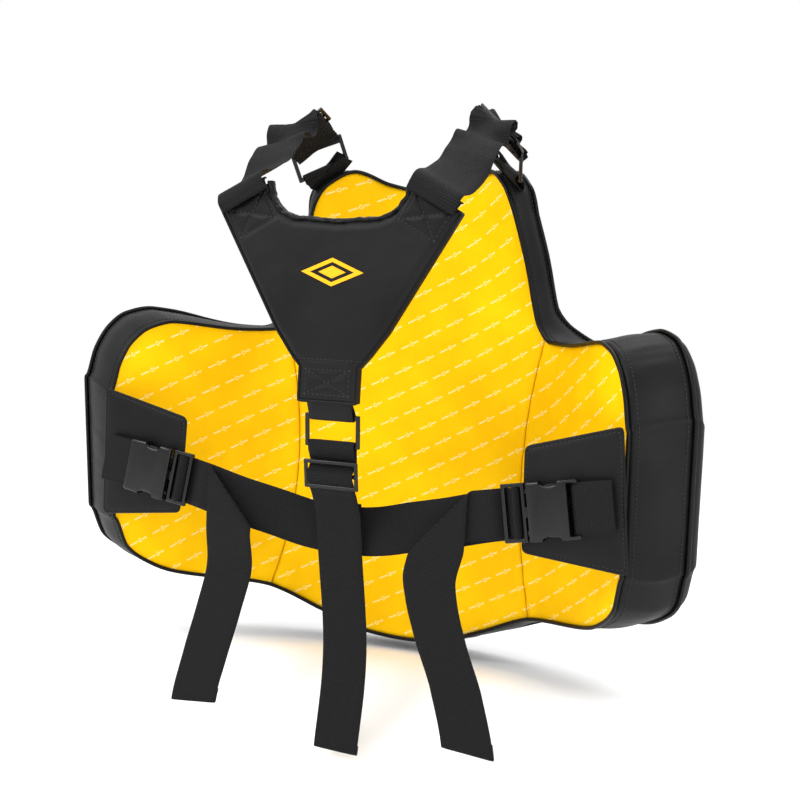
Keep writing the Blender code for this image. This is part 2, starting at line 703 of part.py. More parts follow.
def build_plug(side, name, materials):
    """Plug: a ladder frame with two slots, a tongue, and two sprung arms."""
    frame = buckle_frame(side)
    xs = [x * MM for x in (-26, -22, -15, -11, -6, -2, 20)]
    zs = [z * MM for z in (-29, -25.2, -5, 5, 25.2, 29)]
    slots = {(i, j) for i in (1, 2, 3) for j in (1, 3)}
    beside_tongue = {(i, 5) for i in (0, 1, 3, 4)}
    plate(name, xs, zs, slots | beside_tongue, 5 * MM, materials["acetal"], frame,
          bevel=0.7 * MM)
    for end, flip in (("upper", 1), ("lower", -1)):
        outline = [(x * MM, flip * z * MM) for x, z in ARM_OUTLINE]
        prism(name + "_" + end + "_arm", outline, -3 * MM, 3 * MM, materials["acetal"],
              frame)


def build_stub(side, name, material):
    """Short webbing from the wing's edge round the socket's bar and back."""
    frame = buckle_frame(side)
    turn = [math.pi * k / 6 for k in range(7)]
    bend = [(49.5 - 4.6 * math.sin(a), 4.6 * math.cos(a)) for a in turn]
    route = [(84, 3.4), (68, 3.8), *bend, (68, -3.8), (84, -3.4)]
    path = [frame @ Vector((x * MM, y * MM, 0)) for x, y in route]
    strap(name, path, frame.col[2].xyz, WEB, material, thickness=1.8 * MM)


def build_tail(side, name, hang, material):
    """Free end of the belt: out of the plug, over the belt, and down."""
    frame = buckle_frame(side)
    start = [(-18.5, -1.0), (-19.5, -3.4), (-24, -4.8), (-33, -5.2)]
    lead = [frame @ Vector((x * MM, y * MM, 0)) for x, y in start]
    run = smooth_path([lead[-1], *mirrored(hang, side)], 3)
    path = lead[:-1] + run
    upright = frame.col[2].xyz
    turning = blended(upright, Vector((side, 0, 0)), 11)
    across = [upright] * 4 + turning + [Vector((side, 0, 0))] * len(path)
    strap(name, path, across[:len(path)], WEB - 1 * MM, material, thickness=1.8 * MM)


def build_flap(side, name, material):
    """Padded cover flap between the buckle and the wearer, sewn to the wing's edge."""
    corners = [[(196, -60), (297, -71)], [(192, 45), (285, 70)]]
    grids = []
    for back_off in (0.0, 3.0):
        grid = []
        for i in range(5):
            row = []
            for j in range(5):
                low = Vector(corners[0][0]).lerp(Vector(corners[0][1]), j / 4)
                high = Vector(corners[1][0]).lerp(Vector(corners[1][1]), j / 4)
                x, z = low.lerp(high, i / 4)
                y = -191 - 3.2 * (j / 4) - WING_LEAN * z * (j / 4) - back_off
                row.append(Vector((side * x, y, z)) * MM)
            grid.append(row)
        grids.append(grid)
    slab(name, grids[0], grids[1], material)


def build_belt(materials):
    """Waist belt behind the plugs, and the keeper it passes through."""
    half = [Vector(p) * MM for p in BELT_HALF]
    run = [Vector((-p.x, p.y, p.z)) for p in reversed(half[1:])] + half
    strap("waist_belt", smooth_path(run, 2), Vector((0, 0, 1)), WEB, materials["webbing"])
    x, y, z = BELT_HALF[0]
    outer = [(y + dy * 3.8, z + dz * 29.2) for dy, dz in ((-1, 1), (1, 1), (1, -1), (-1, -1))]
    inner = [(y + dy * 2.6, z + dz * 28.0) for dy, dz in ((-1, 1), (1, 1), (1, -1), (-1, -1))]
    bm = bmesh.new()
    rings = []
    for loop, xs in ((outer, (-14, 14)), (inner, (14, -14))):
        rings += [[Vector((px, py, pz)) * MM for py, pz in loop] for px in xs]
    skin(bm, rings, closed_run=True)
    add_object("belt_keeper", bm, materials["webbing"])


def main():
    """Clears the scene and builds every piece."""
    for old in list(bpy.data.objects):
        bpy.data.objects.remove(old)
    materials = {"pu_black": make_material("pu_black", (0.017, 0.017, 0.019), 0.45),
                 "lining": make_material("lining_yellow", (0.9, 0.55, 0.01), 0.6),
                 "foam": make_material("foam_grey", (0.25, 0.25, 0.26), 0.9),
                 "webbing": make_material("webbing_black", (0.012, 0.012, 0.013), 0.7),
                 "acetal": make_material("acetal_black", (0.01, 0.01, 0.011), 0.25),
                 "emblem": make_material("emblem_yellow", (0.9, 0.42, 0.02), 0.5)}
    build_front_cover(materials["pu_black"])
    build_gusset(materials["pu_black"])
    build_piping("front_piping", GUSSET_SHARE, 1.0, PIPING_R + 2 * GAP, -PIPING_R,
                 materials["pu_black"])
    build_piping("lining_piping", 0.0, 0.0, 0.0, -PIPING_R - GAP, materials["pu_black"])
    build_linings(materials["lining"])
    build_foams(materials["foam"])
    build_back_pad(materials)
    build_centre(materials)
    build_belt(materials)
    for side, name, hang in ((-1, "left", LEFT_TAIL), (1, "right", RIGHT_TAIL)):
        build_shoulder(side, name, materials)
        build_socket(side, name + "_buckle_socket", materials)
        build_plug(side, name + "_buckle_plug", materials)
        build_stub(side, name + "_buckle_stub", materials["webbing"])
        build_tail(side, name + "_tail", hang, materials["webbing"])
        build_flap(side, name + "_flap", materials["pu_black"])


main()
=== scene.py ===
# %% [markdown]
# # A boxing trainer's chest protector
# A trainer wears this padded panel while a boxer hits it. Foam blocks sit in a black
# synthetic leather shell, a printed yellow lining faces the body, and webbing, rings
# and side-release buckles hold it on from behind. Each cell below makes one kind of
# piece. Lengths are metres, +Z is up and the wearer stands on the -Y side.

# %% Load the working model that every piece is built around
import json
import math

import bmesh
import bpy
from mathutils import Matrix, Vector, noise

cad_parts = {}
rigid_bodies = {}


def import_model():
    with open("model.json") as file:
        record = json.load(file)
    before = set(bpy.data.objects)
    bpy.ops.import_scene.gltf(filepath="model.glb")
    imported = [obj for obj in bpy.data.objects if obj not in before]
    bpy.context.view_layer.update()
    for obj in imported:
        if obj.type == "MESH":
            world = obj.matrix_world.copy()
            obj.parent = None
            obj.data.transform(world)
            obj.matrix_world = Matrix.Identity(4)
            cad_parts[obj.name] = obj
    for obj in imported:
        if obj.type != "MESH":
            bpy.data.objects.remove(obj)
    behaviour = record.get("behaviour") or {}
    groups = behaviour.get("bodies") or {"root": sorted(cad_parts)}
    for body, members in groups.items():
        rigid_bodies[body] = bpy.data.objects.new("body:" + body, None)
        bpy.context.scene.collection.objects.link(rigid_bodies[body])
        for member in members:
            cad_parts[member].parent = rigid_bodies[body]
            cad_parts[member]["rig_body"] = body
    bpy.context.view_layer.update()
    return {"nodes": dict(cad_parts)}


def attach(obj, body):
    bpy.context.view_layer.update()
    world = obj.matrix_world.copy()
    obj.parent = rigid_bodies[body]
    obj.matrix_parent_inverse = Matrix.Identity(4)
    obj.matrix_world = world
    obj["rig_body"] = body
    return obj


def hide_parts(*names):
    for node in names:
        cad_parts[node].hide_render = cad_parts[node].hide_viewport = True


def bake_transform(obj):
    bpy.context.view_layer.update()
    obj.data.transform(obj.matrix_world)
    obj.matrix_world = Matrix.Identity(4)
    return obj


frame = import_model()
MM = 0.001
UP = Vector((0, 0, 1))
AWAY = Vector((0, 1, 0))            # away from the wearer

# %% [markdown]
# ## Finishes
# Colours are written as sRGB hex, as a colour picker shows them, but shaders work in
# linear light, so one function turns them. One more function adds a node with its
# settings and links. Patterns are scaled from real sizes in millimetres.

# %% Colour and node helpers
def linear(hex_colour):
    """An sRGB hex colour as the linear RGBA that a shader socket wants."""
    parts = [int(hex_colour[i:i + 2], 16) / 255 for i in (1, 3, 5)]
    return (*[c / 12.92 if c <= 0.04045 else ((c + 0.055) / 1.055) ** 2.4
              for c in parts], 1.0)


def add_node(tree, kind, inputs=None, **settings):
    """Adds a node, sets its properties, and links or sets the named inputs."""
    made = tree.nodes.new(kind)
    for key, value in settings.items():
        setattr(made, key, value)
    for key, value in (inputs or {}).items():
        if isinstance(value, bpy.types.NodeSocket):
            tree.links.new(value, made.inputs[key])
        else:
            made.inputs[key].default_value = value
    return made


def new_finish(name, specular=0.5):
    """A material with its node tree and its Principled shader."""
    material = bpy.data.materials.new(name)
    material.use_nodes = True
    shader = material.node_tree.nodes["Principled BSDF"]
    shader.inputs["Specular IOR Level"].default_value = specular
    return material, material.node_tree, shader


def ramp(tree, factor, stops):
    """A colour ramp through (position, hex colour) stops."""
    made = add_node(tree, "ShaderNodeValToRGB", {"Fac": factor})
    elements = made.color_ramp.elements
    while len(elements) < len(stops):
        elements.new(0.5)
    for element, (place, colour) in zip(elements, stops):
        element.position = place
        element.color = linear(colour)
    return made.outputs["Color"]


def spread(tree, value, low, high):
    """Maps a 0..1 value to low..high."""
    made = add_node(tree, "ShaderNodeMapRange", {"Value": value, "To Min": low, "To Max": high})
    return made.outputs["Result"]


def maths(tree, operation, *values):
    """One Math node on numbers or sockets."""
    made = add_node(tree, "ShaderNodeMath", dict(enumerate(values)), operation=operation)
    return made.outputs[0]


# %% [markdown]
# ### Synthetic leather
# The shell is polyurethane on a knit: a satin coat with an embossed pebble grain. Real
# grain cells are about 1 mm; they are drawn at 1.8 mm here so that they still show.
# Broad soft patches in the roughness stand for handling.

# %% Synthetic leather
def leather_finish(name, light, dark, rough_low, rough_high, grain=1.8 * MM):
    """Coated fabric with an embossed pebble grain."""
    material, tree, shader = new_finish(name, specular=0.14)
    place = add_node(tree, "ShaderNodeTexCoord").outputs["Object"]
    pebble = add_node(tree, "ShaderNodeTexVoronoi", {"Vector": place, "Scale": 1 / grain,
                      "Randomness": 0.9}, feature="SMOOTH_F1")
    crease = add_node(tree, "ShaderNodeTexNoise", {"Vector": place, "Scale": 1 / (9 * MM),
                      "Detail": 5.0, "Roughness": 0.6})
    patches = add_node(tree, "ShaderNodeTexNoise", {"Vector": place, "Scale": 1 / (70 * MM),
                       "Detail": 3.0})
    tone = ramp(tree, patches.outputs["Fac"], [(0.35, dark), (0.65, light)])
    tree.links.new(tone, shader.inputs["Base Color"])
    rough = spread(tree, patches.outputs["Fac"], rough_low, rough_high)
    tree.links.new(rough, shader.inputs["Roughness"])
    fine = add_node(tree, "ShaderNodeBump", {"Height": pebble.outputs["Distance"],
                    "Strength": 0.22, "Distance": 0.35 * MM})
    soft = add_node(tree, "ShaderNodeBump", {"Height": crease.outputs["Fac"],
                    "Strength": 0.25, "Distance": 1.0 * MM, "Normal": fine.outputs["Normal"]})
    tree.links.new(soft.outputs["Normal"], shader.inputs["Normal"])
    shader.inputs["IOR"].default_value = 1.5
    return material


shell_leather = leather_finish("shell_synthetic_leather", "#151516", "#0E0E0F", 0.4, 0.55)
trim_leather = leather_finish("piping_smooth_vinyl", "#111112", "#0B0B0C", 0.3, 0.42, 1.2 * MM)
print("leathers:", shell_leather.name, trim_leather.name)

# %% [markdown]
# ### Printed nylon lining
# A bright yellow coated nylon. Its print is a small pale mark in slanting rows: here a
# dash, an open diamond and a shorter dash. The lining carries a UV map in metres, girth
# across and height up, so the print follows the cloth over every curve. Fine weave
# threads of 0.4 mm can't be seen, so the bump draws them at 1.5 mm, faintly.

# %% Printed lining
PRINT_PITCH = 31 * MM               # between marks in a row
ROW_PITCH = 24 * MM
PRINT_TURN = math.radians(-27)
DASH_HALF = 1.5 * MM                # half the height of a dash


def lining_finish():
    """Yellow nylon with rows of dash, diamond, dash."""
    material, tree, shader = new_finish("lining_printed_nylon", specular=0.04)
    cloth = add_node(tree, "ShaderNodeTexCoord").outputs["UV"]
    turned = add_node(tree, "ShaderNodeMapping", {"Vector": cloth,
                      "Rotation": (0, 0, PRINT_TURN)})
    across, up, _ = add_node(tree, "ShaderNodeSeparateXYZ",
                             {0: turned.outputs[0]}).outputs
    row = maths(tree, "DIVIDE", up, ROW_PITCH)
    odd = maths(tree, "MULTIPLY", maths(tree, "FLOOR", row), 0.37)
    column = maths(tree, "ADD", maths(tree, "DIVIDE", across, PRINT_PITCH), odd)
    x = maths(tree, "MULTIPLY", maths(tree, "SUBTRACT", maths(tree, "FRACT", column), 0.5),
              PRINT_PITCH)
    y = maths(tree, "MULTIPLY", maths(tree, "SUBTRACT", maths(tree, "FRACT", row), 0.5),
              ROW_PITCH)
    x_size = maths(tree, "ABSOLUTE", x)
    y_size = maths(tree, "ABSOLUTE", y)
    in_height = maths(tree, "LESS_THAN", y_size, DASH_HALF * 0.62)
    long_dash = maths(tree, "LESS_THAN", maths(tree, "ABSOLUTE",
                      maths(tree, "ADD", x, 6.6 * MM)), 5.0 * MM)
    short_dash = maths(tree, "LESS_THAN", maths(tree, "ABSOLUTE",
                       maths(tree, "SUBTRACT", x, 8.2 * MM)), 2.6 * MM)
    dashes = maths(tree, "MULTIPLY", in_height, maths(tree, "MAXIMUM", long_dash, short_dash))
    shifted = maths(tree, "ABSOLUTE", maths(tree, "SUBTRACT", x, 2.4 * MM))
    taxi = maths(tree, "ADD", shifted, y_size)
    rim = maths(tree, "ABSOLUTE", maths(tree, "SUBTRACT", taxi, 2.3 * MM))
    diamond = maths(tree, "LESS_THAN", rim, 0.75 * MM)
    near = maths(tree, "LESS_THAN", x_size, 13 * MM)
    print_mask = maths(tree, "MULTIPLY", near, maths(tree, "MAXIMUM", dashes, diamond))
    fade = add_node(tree, "ShaderNodeTexNoise", {"Vector": cloth, "Scale": 1 / (5 * MM)})
    worn = maths(tree, "MULTIPLY", print_mask, spread(tree, fade.outputs["Fac"], 0.35, 0.8))
    patches = add_node(tree, "ShaderNodeTexNoise", {"Vector": cloth, "Scale": 1 / (60 * MM),
                       "Detail": 3.0})
    ground = ramp(tree, patches.outputs["Fac"], [(0.3, "#F7BC05"), (0.7, "#FFCB0A")])
    mixed = add_node(tree, "ShaderNodeMix", {"Factor": worn, "A": ground,
                     "B": linear("#FFF0A8")}, data_type="RGBA")
    tree.links.new(mixed.outputs["Result"], shader.inputs["Base Color"])
    thread = 2 * math.pi / (1.5 * MM)
    flat_across, flat_up, _ = add_node(tree, "ShaderNodeSeparateXYZ", {0: cloth}).outputs
    weave = maths(tree, "MULTIPLY",
                  maths(tree, "SINE", maths(tree, "MULTIPLY", flat_across, thread)),
                  maths(tree, "SINE", maths(tree, "MULTIPLY", flat_up, thread)))
    fine = add_node(tree, "ShaderNodeBump", {"Height": weave, "Strength": 0.08,
                    "Distance": 0.2 * MM})
    crumple = add_node(tree, "ShaderNodeTexNoise", {"Vector": cloth, "Scale": 1 / (26 * MM),
                       "Detail": 4.0, "Distortion": 0.5})
    soft = add_node(tree, "ShaderNodeBump", {"Height": crumple.outputs["Fac"],
                    "Strength": 0.35, "Distance": 2.5 * MM, "Normal": fine.outputs["Normal"]})
    tree.links.new(soft.outputs["Normal"], shader.inputs["Normal"])
    shader.inputs["Roughness"].default_value = 0.52
    return material


lining_nylon = lining_finish()
print("lining print pitch mm:", PRINT_PITCH / MM)

# %% [markdown]
# ### Woven webbing
# Polypropylene webbing has ribs along its length, crossed by the weft. A UV map gives
# place across and along the tape in metres. The bump is the product of two sine waves,
# shifted by half a rib every other row, as in a plain weave, and the same pattern paints
# shade into the colour: painted shade in the gaps between threads and painted light on
# the raised threads. Rib spacing is drawn at 2.1 mm.

# %% Woven webbing
def webbing_finish():
    """Black woven tape."""
    material, tree, shader = new_finish("webbing_woven_polypropylene", specular=0.1)
    tape = add_node(tree, "ShaderNodeTexCoord").outputs["UV"]
    across, along, _ = add_node(tree, "ShaderNodeSeparateXYZ", {0: tape}).outputs
    rib = maths(tree, "MULTIPLY", across, math.pi / (2.1 * MM))
    pick = maths(tree, "DIVIDE", along, 1.9 * MM)
    shift = maths(tree, "MULTIPLY", maths(tree, "MODULO", maths(tree, "FLOOR", pick), 2.0),
                  math.pi / 2)
    ribs = maths(tree, "ABSOLUTE", maths(tree, "SINE", maths(tree, "ADD", rib, shift)))
    picks = maths(tree, "SINE", maths(tree, "MULTIPLY", maths(tree, "FRACT", pick), math.pi))
    weave = maths(tree, "MULTIPLY", ribs, picks)
    fuzz = add_node(tree, "ShaderNodeTexNoise", {"Vector": tape, "Scale": 1 / (1.3 * MM),
                    "Detail": 3.0})
    height = maths(tree, "ADD", weave, maths(tree, "MULTIPLY", fuzz.outputs["Fac"], 0.35))
    # painted shade and light: the colour follows the weave height, darker in the gaps between
    # threads, lighter on the raised threads
    tone = ramp(tree, weave, [(0.0, "#030303"), (0.75, "#202022")])
    tree.links.new(tone, shader.inputs["Base Color"])
    bump = add_node(tree, "ShaderNodeBump", {"Height": height, "Strength": 0.75,
                    "Distance": 0.55 * MM})
    tree.links.new(bump.outputs["Normal"], shader.inputs["Normal"])
    shader.inputs["Roughness"].default_value = 0.62
    return material


web_woven = webbing_finish()
print("webbing:", web_woven.name)

# %% [markdown]
# ### Moulded acetal, thread, raised print and foam
# Buckles and rings are injection-moulded acetal: black, half gloss, with faint flow
# marks. Thread is bonded polyester, a little lighter than what it holds. The diamond on
# the pad is a raised rubber print. The foam is closed-cell sheet inside the shell.

# %% Moulded and small finishes
def moulded_finish(name, colour, rough_low, rough_high, mark, specular):
    """A solid-coloured material with faint marks of one size in gloss and height."""
    material, tree, shader = new_finish(name, specular)
    place = add_node(tree, "ShaderNodeTexCoord").outputs["Object"]
    marks = add_node(tree, "ShaderNodeTexNoise", {"Vector": place, "Scale": 1 / mark,
                     "Detail": 4.0})
    rough = spread(tree, marks.outputs["Fac"], rough_low, rough_high)
    tree.links.new(rough, shader.inputs["Roughness"])
    bump = add_node(tree, "ShaderNodeBump", {"Height": marks.outputs["Fac"],
                    "Strength": 0.05, "Distance": 0.2 * MM})
    tree.links.new(bump.outputs["Normal"], shader.inputs["Normal"])
    shader.inputs["Base Color"].default_value = linear(colour)
    return material


acetal = moulded_finish("acetal_injection_moulded", "#090909", 0.2, 0.34, 9 * MM, 0.32)
thread_black = moulded_finish("thread_bonded_polyester", "#2C2C2E", 0.45, 0.6, 1 * MM, 0.2)
raised_print = moulded_finish("emblem_raised_rubber_print", "#F2AE1E", 0.45, 0.6, 3 * MM, 0.1)
foam_cell = moulded_finish("foam_closed_cell", "#70747A", 0.8, 0.95, 2 * MM, 0.3)
for name, node in frame["nodes"].items():
    if name.endswith("foam"):
        node.data.materials.clear()
        node.data.materials.append(foam_cell)
print("small finishes: acetal, thread, print, foam")

# %% [markdown]
# ## Camera, floor and light
# The camera stands a little to the right of the middle and looks slightly down, with a
# small roll. The floor is a pale sheet that sags in front, so that the loose webbing
# ends hang free of it, and large soft lights leave one soft shadow under the belly.

# %% Camera
CAMERA_PLACE = Vector((0.5455, -1.3647, 0.1143))
CAMERA_FORWARD = Vector((-0.3796, 0.9217, -0.0796)).normalized()
CAMERA_ROLL = math.radians(3.484)
level = CAMERA_FORWARD.cross(UP).normalized()
raised = level.cross(CAMERA_FORWARD)
camera_right = level * math.cos(CAMERA_ROLL) + raised * math.sin(CAMERA_ROLL)
camera_up = raised * math.cos(CAMERA_ROLL) - level * math.sin(CAMERA_ROLL)
turned = Matrix((camera_right, camera_up, -CAMERA_FORWARD)).transposed().to_4x4()
camera_data = bpy.data.cameras.new("camera")
camera_data.lens = 56.25
camera_data.shift_x = -0.0011
camera_data.shift_y = 0.0837
camera = bpy.data.objects.new("camera", camera_data)
camera.matrix_world = Matrix.Translation(CAMERA_PLACE) @ turned
bpy.context.scene.collection.objects.link(camera)
bpy.context.scene.camera = camera
print("camera distance:", round(CAMERA_PLACE.length, 3))


# %% Floor and lights
def smoothstep(x):
    """0 below 0, 1 above 1, and an easy curve between."""
    x = min(1.0, max(0.0, x))
    return x * x * (3 - 2 * x)


def make_floor():
    """A wide sheet: high behind the object, lower in front of it."""
    bm = bmesh.new()
    rows = sorted(set([-4, -2.5, -1.5, -1.0] + [-0.6 + 0.02 * k for k in range(41)]
                      + [0.4, 1.0, 2.0, 3.5, 6.0]))
    grid = []
    for y in rows:
        z = -0.335 + 0.113 * smoothstep((y + 0.20) / 0.14)
        grid.append([bm.verts.new((x, y, z)) for x in (-6, -1, 0, 1, 6)])
    for here, there in zip(grid, grid[1:]):
        for j in range(4):
            bm.faces.new((here[j], here[j + 1], there[j + 1], there[j]))
    mesh = bpy.data.meshes.new("floor")
    bm.to_mesh(mesh)
    bm.free()
    mesh.shade_smooth()
    material, _, shader = new_finish("floor_white_paper")
    shader.inputs["Base Color"].default_value = linear("#FFFFFF")
    shader.inputs["Roughness"].default_value = 0.9
    mesh.materials.append(material)
    floor = bpy.data.objects.new("floor", mesh)
    bpy.context.scene.collection.objects.link(floor)


def add_light(name, place, size, power, aim=(0, 0, 0)):
    """A square area light at a place, pointed at aim."""
    data = bpy.data.lights.new(name, "AREA")
    data.size = size
    data.energy = power
    lamp = bpy.data.objects.new(name, data)
    lamp.location = place
    facing = (Vector(aim) - Vector(place)).to_track_quat("-Z", "Y")
    lamp.rotation_euler = facing.to_euler()
    bpy.context.scene.collection.objects.link(lamp)


make_floor()
add_light("key", (-1.3, -1.9, 1.7), 1.4, 42)
add_light("fill", (1.9, -1.6, 0.7), 1.6, 22)
add_light("top", (0.1, 0.3, 2.4), 1.8, 30)
world = bpy.data.worlds.new("white_studio")
world.use_nodes = True
world.node_tree.nodes["Background"].inputs["Color"].default_value = (1, 1, 1, 1)
world.node_tree.nodes["Background"].inputs["Strength"].default_value = 1.0
bpy.context.scene.world = world
print("lights:", len(bpy.data.lights))

# %% [markdown]
# ## Mesh tools
# Nearly every piece is a run of cross-sections joined with quads, so one function does
# that and lays a UV map in metres over it. A long narrow piece is capped at both ends.

# %% Mesh tools
def skin(bm, rings, us=None, vs=None, closed_ring=True, closed_run=False):
    """Quads between successive rings of points, with UVs from us and vs in metres."""
    made = [[bm.verts.new(p) for p in ring] for ring in rings]
    uv = bm.loops.layers.uv.verify()
    count = len(made[0])
    steps = count if closed_ring else count - 1
    runs = len(made) if closed_run else len(made) - 1
    for i in range(runs):
        here, there = made[i], made[(i + 1) % len(made)]
        for j in range(steps):
            k = (j + 1) % count
            face = bm.faces.new((here[j], here[k], there[k], there[j]))
            if us:
                corners = ((j, i), (j + 1, i), (j + 1, i + 1), (j, i + 1))
                for loop, (a, b) in zip(face.loops, corners):
                    loop[uv].uv = (us[a], vs[b])
    return made


def finish_mesh(name, bm, material, angle=40, outward_shell=True):
    """Turns a bmesh into a smooth-shaded object with its normals pointing out."""
    bmesh.ops.remove_doubles(bm, verts=bm.verts, dist=0.01 * MM)
    if outward_shell:
        bmesh.ops.recalc_face_normals(bm, faces=bm.faces)
        if bm.calc_volume(signed=True) < 0:
            bmesh.ops.reverse_faces(bm, faces=bm.faces)
    mesh = bpy.data.meshes.new(name)
    bm.to_mesh(mesh)
    bm.free()
    mesh.shade_smooth()
    mesh.set_sharp_from_angle(angle=math.radians(angle))
    mesh.materials.append(material)
    obj = bpy.data.objects.new(name, mesh)
    bpy.context.scene.collection.objects.link(obj)
    return obj


def applied(obj):
    """Replaces an object's mesh with the result of its modifiers."""
    bpy.context.view_layer.update()
    evaluated = obj.evaluated_get(bpy.context.evaluated_depsgraph_get())
    mesh = bpy.data.meshes.new_from_object(evaluated)
    obj.modifiers.clear()
    obj.data = mesh
    return obj


def place(obj, body, slot, *nodes):
    """Rides a piece on its body and hides what it stands for; slot is not used."""
    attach(obj, body)
    if nodes:
        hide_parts(*nodes)
    return obj


def running_length(path):
    """Distance along a path at each of its points."""
    lengths = [0.0]
    for a, b in zip(path, path[1:]):
        lengths.append(lengths[-1] + (b - a).length)
    return lengths


def smooth_path(points, per_span=8):
    """Points on a Catmull-Rom curve through the given points."""
    path = []
    ends = [2 * points[0] - points[1], *points, 2 * points[-1] - points[-2]]
    for a, b, c, d in zip(ends, ends[1:], ends[2:], ends[3:]):
        for k in range(per_span):
            t = k / per_span
            path.append(0.5 * (2 * b + (c - a) * t + (2 * a - 5 * b + 4 * c - d) * t * t
                               + (3 * b - a - 3 * c + d) * t ** 3))
    return [*path, points[-1].copy()]


def axes_matrix(origin, x_axis, z_axis):
    """A frame at origin whose X and Z run along two perpendicular directions."""
    x_axis = x_axis.normalized()
    z_axis = (z_axis - z_axis.dot(x_axis) * x_axis).normalized()
    y_axis = z_axis.cross(x_axis)
    spun = Matrix((x_axis, y_axis, z_axis)).transposed().to_4x4()
    return Matrix.Translation(origin) @ spun


def mirrored(points, side):
    """Points given for the right-hand side in mm, as vectors on either side."""
    return [Vector((side * x, y, z)) * MM for x, y, z in points]


# %% [markdown]
# ## The padded panel
# The panel is drawn flat first, as a cutter would: girth from the middle across, height
# up, and depth out through the padding. One function bends that flat shape round the
# wearer. Its outline is two smooth curves through a few knots, in mm.

# %% The panel's surface
HALF_GIRTH = 366 * MM
SEAM_TOP = 165 * MM
SEAM_WAIST = 142 * MM
SEAM_BOTTOM = 168 * MM
ARMHOLE_Z = 157 * MM
HEADING = [(0, 0), (150, 24), (200, 46), (400, 54)]     # girth in mm, turn in degrees
WING_LEAN = 0.12
HORN_CURL = 42 * MM
TOP_EDGE = [(0, 317), (50, 325), (83, 336), (108, 319), (123, 293), (136, 243),
            (146, 195), (158, 166), (178, 150), (225, 147), (290, 150), (318, 142),
            (340, 124), (354, 100), (366, 66)]
BOTTOM_EDGE = [(0, -207), (40, -204), (104, -182), (153, -161), (172, -155), (200, -151),
               (270, -144), (300, -139), (330, -127), (352, -110), (366, -76)]
CHEST_DEPTH = 38 * MM
BELLY_DEPTH = 68 * MM
WING_DEPTH = 80 * MM
GUSSET_SHARE = 0.8
COVER_ROUND = 16 * MM
CLOTH = 1.5 * MM
PIPING_R = 2.2 * MM
GAP = 0.5 * MM


def along_knots(knots, x):
    """Height in metres on a smooth monotone curve through (mm, mm) knots."""
    x = min(max(x / MM, knots[0][0]), knots[-1][0])
    slopes = []
    for i in range(len(knots)):
        spans = [(knots[k + 1][1] - knots[k][1]) / (knots[k + 1][0] - knots[k][0])
                 for k in (i - 1, i) if 0 <= k < len(knots) - 1]
        same_way = len(spans) == 2 and spans[0] * spans[1] > 0
        slopes.append(2 * spans[0] * spans[1] / (spans[0] + spans[1]) if same_way else 0)
    for (x0, y0), (x1, y1), m0, m1 in zip(knots, knots[1:], slopes, slopes[1:]):
        if x <= x1:
            h = x1 - x0
            t = (x - x0) / h
            return MM * (y0 * (1 + 2 * t) * (1 - t) ** 2 + h * m0 * t * (1 - t) ** 2
                         + y1 * t * t * (3 - 2 * t) + h * m1 * t * t * (t - 1))
    return MM * knots[-1][1]


def turn_at(girth):
    """Direction of the lining at a girth, in radians from the X axis."""
    girth = girth / MM
    for (g0, a0), (g1, a1) in zip(HEADING, HEADING[1:]):
        if girth <= g1:
            return math.radians(a0 + (a1 - a0) * (girth - g0) / (g1 - g0))
    return math.radians(HEADING[-1][1])


def trace_girth(step=2 * MM, count=210):
    """The lining's plan curve as (x, y) at every step of girth."""
    x, y = 0.0, 0.0
    curve = [(x, y)]
    for k in range(count):
        angle = turn_at((k + 0.5) * step)
        x += step * math.cos(angle)
        y -= step * math.sin(angle)
        curve.append((x, y))
    return curve


PLAN = trace_girth()


def lining_point(s, z):
    """The point of the lining's inner face at girth s and height z."""
    along = abs(s) / (2 * MM)
    k = min(int(along), len(PLAN) - 2)
    t = along - k
    x = PLAN[k][0] * (1 - t) + PLAN[k + 1][0] * t
    y = PLAN[k][1] * (1 - t) + PLAN[k + 1][1] * t
    y -= WING_LEAN * z * smoothstep((abs(s) - 0.15) / 0.2)
    y -= HORN_CURL * smoothstep((z - 0.19) / 0.13) * smoothstep((abs(s) - 0.04) / 0.09)
    return Vector((math.copysign(x, s), y, z))


def outward(s, z):
    """Unit normal of the lining, away from the wearer."""
    d = 1 * MM
    across = lining_point(s + d, z) - lining_point(s - d, z)
    up = lining_point(s, z + d) - lining_point(s, z - d)
    return up.cross(across).normalized()


def depth_at(s, z):
    """Thickness of the padding."""
    centre = CHEST_DEPTH + (BELLY_DEPTH - CHEST_DEPTH) * smoothstep((0.21 - z) / 0.12)
    share = smoothstep((abs(s) - 0.12) / 0.08) * smoothstep((0.19 - z) / 0.04)
    return centre + (WING_DEPTH - centre) * share


def seam_girth(z):
    """Girth of the curved side seams at a height."""
    if z > 0:
        return SEAM_WAIST + (SEAM_TOP - SEAM_WAIST) * min(1, z / ARMHOLE_Z) ** 2
    return SEAM_WAIST + (SEAM_BOTTOM - SEAM_WAIST) * min(1, -z / ARMHOLE_Z) ** 2


EDGE_CACHE = {}


def edge_heights(girth):
    """Lower and upper end of the panel at a girth."""
    key = round(girth, 7)
    if key not in EDGE_CACHE:
        EDGE_CACHE[key] = (along_knots(BOTTOM_EDGE, girth), along_knots(TOP_EDGE, girth))
    return EDGE_CACHE[key]


def flare(girth):
    """How far the gusset leans out at the top, bottom and end of the wings."""
    wing = smoothstep((girth - 0.17) / 0.1)
    return 10 * MM * wing, -3 * MM * wing, 7 * MM


def panel_flat(s_share, height_share, inset=0.0, flared=0.0):
    """Girth and height of a point of the panel, with its clamped girth."""
    girth = abs(s_share) * HALF_GIRTH
    low, high = edge_heights(girth)
    top_out, bottom_out, end_out = (flared * part for part in flare(girth))
    low += inset - bottom_out
    high += top_out - inset
    z = low + (high - low) * height_share
    in_s = inset * min(1, girth / (120 * MM))
    s = math.copysign(girth * (1 + end_out / HALF_GIRTH) - in_s, s_share)
    return s, z, math.copysign(min(abs(s), HALF_GIRTH), s)


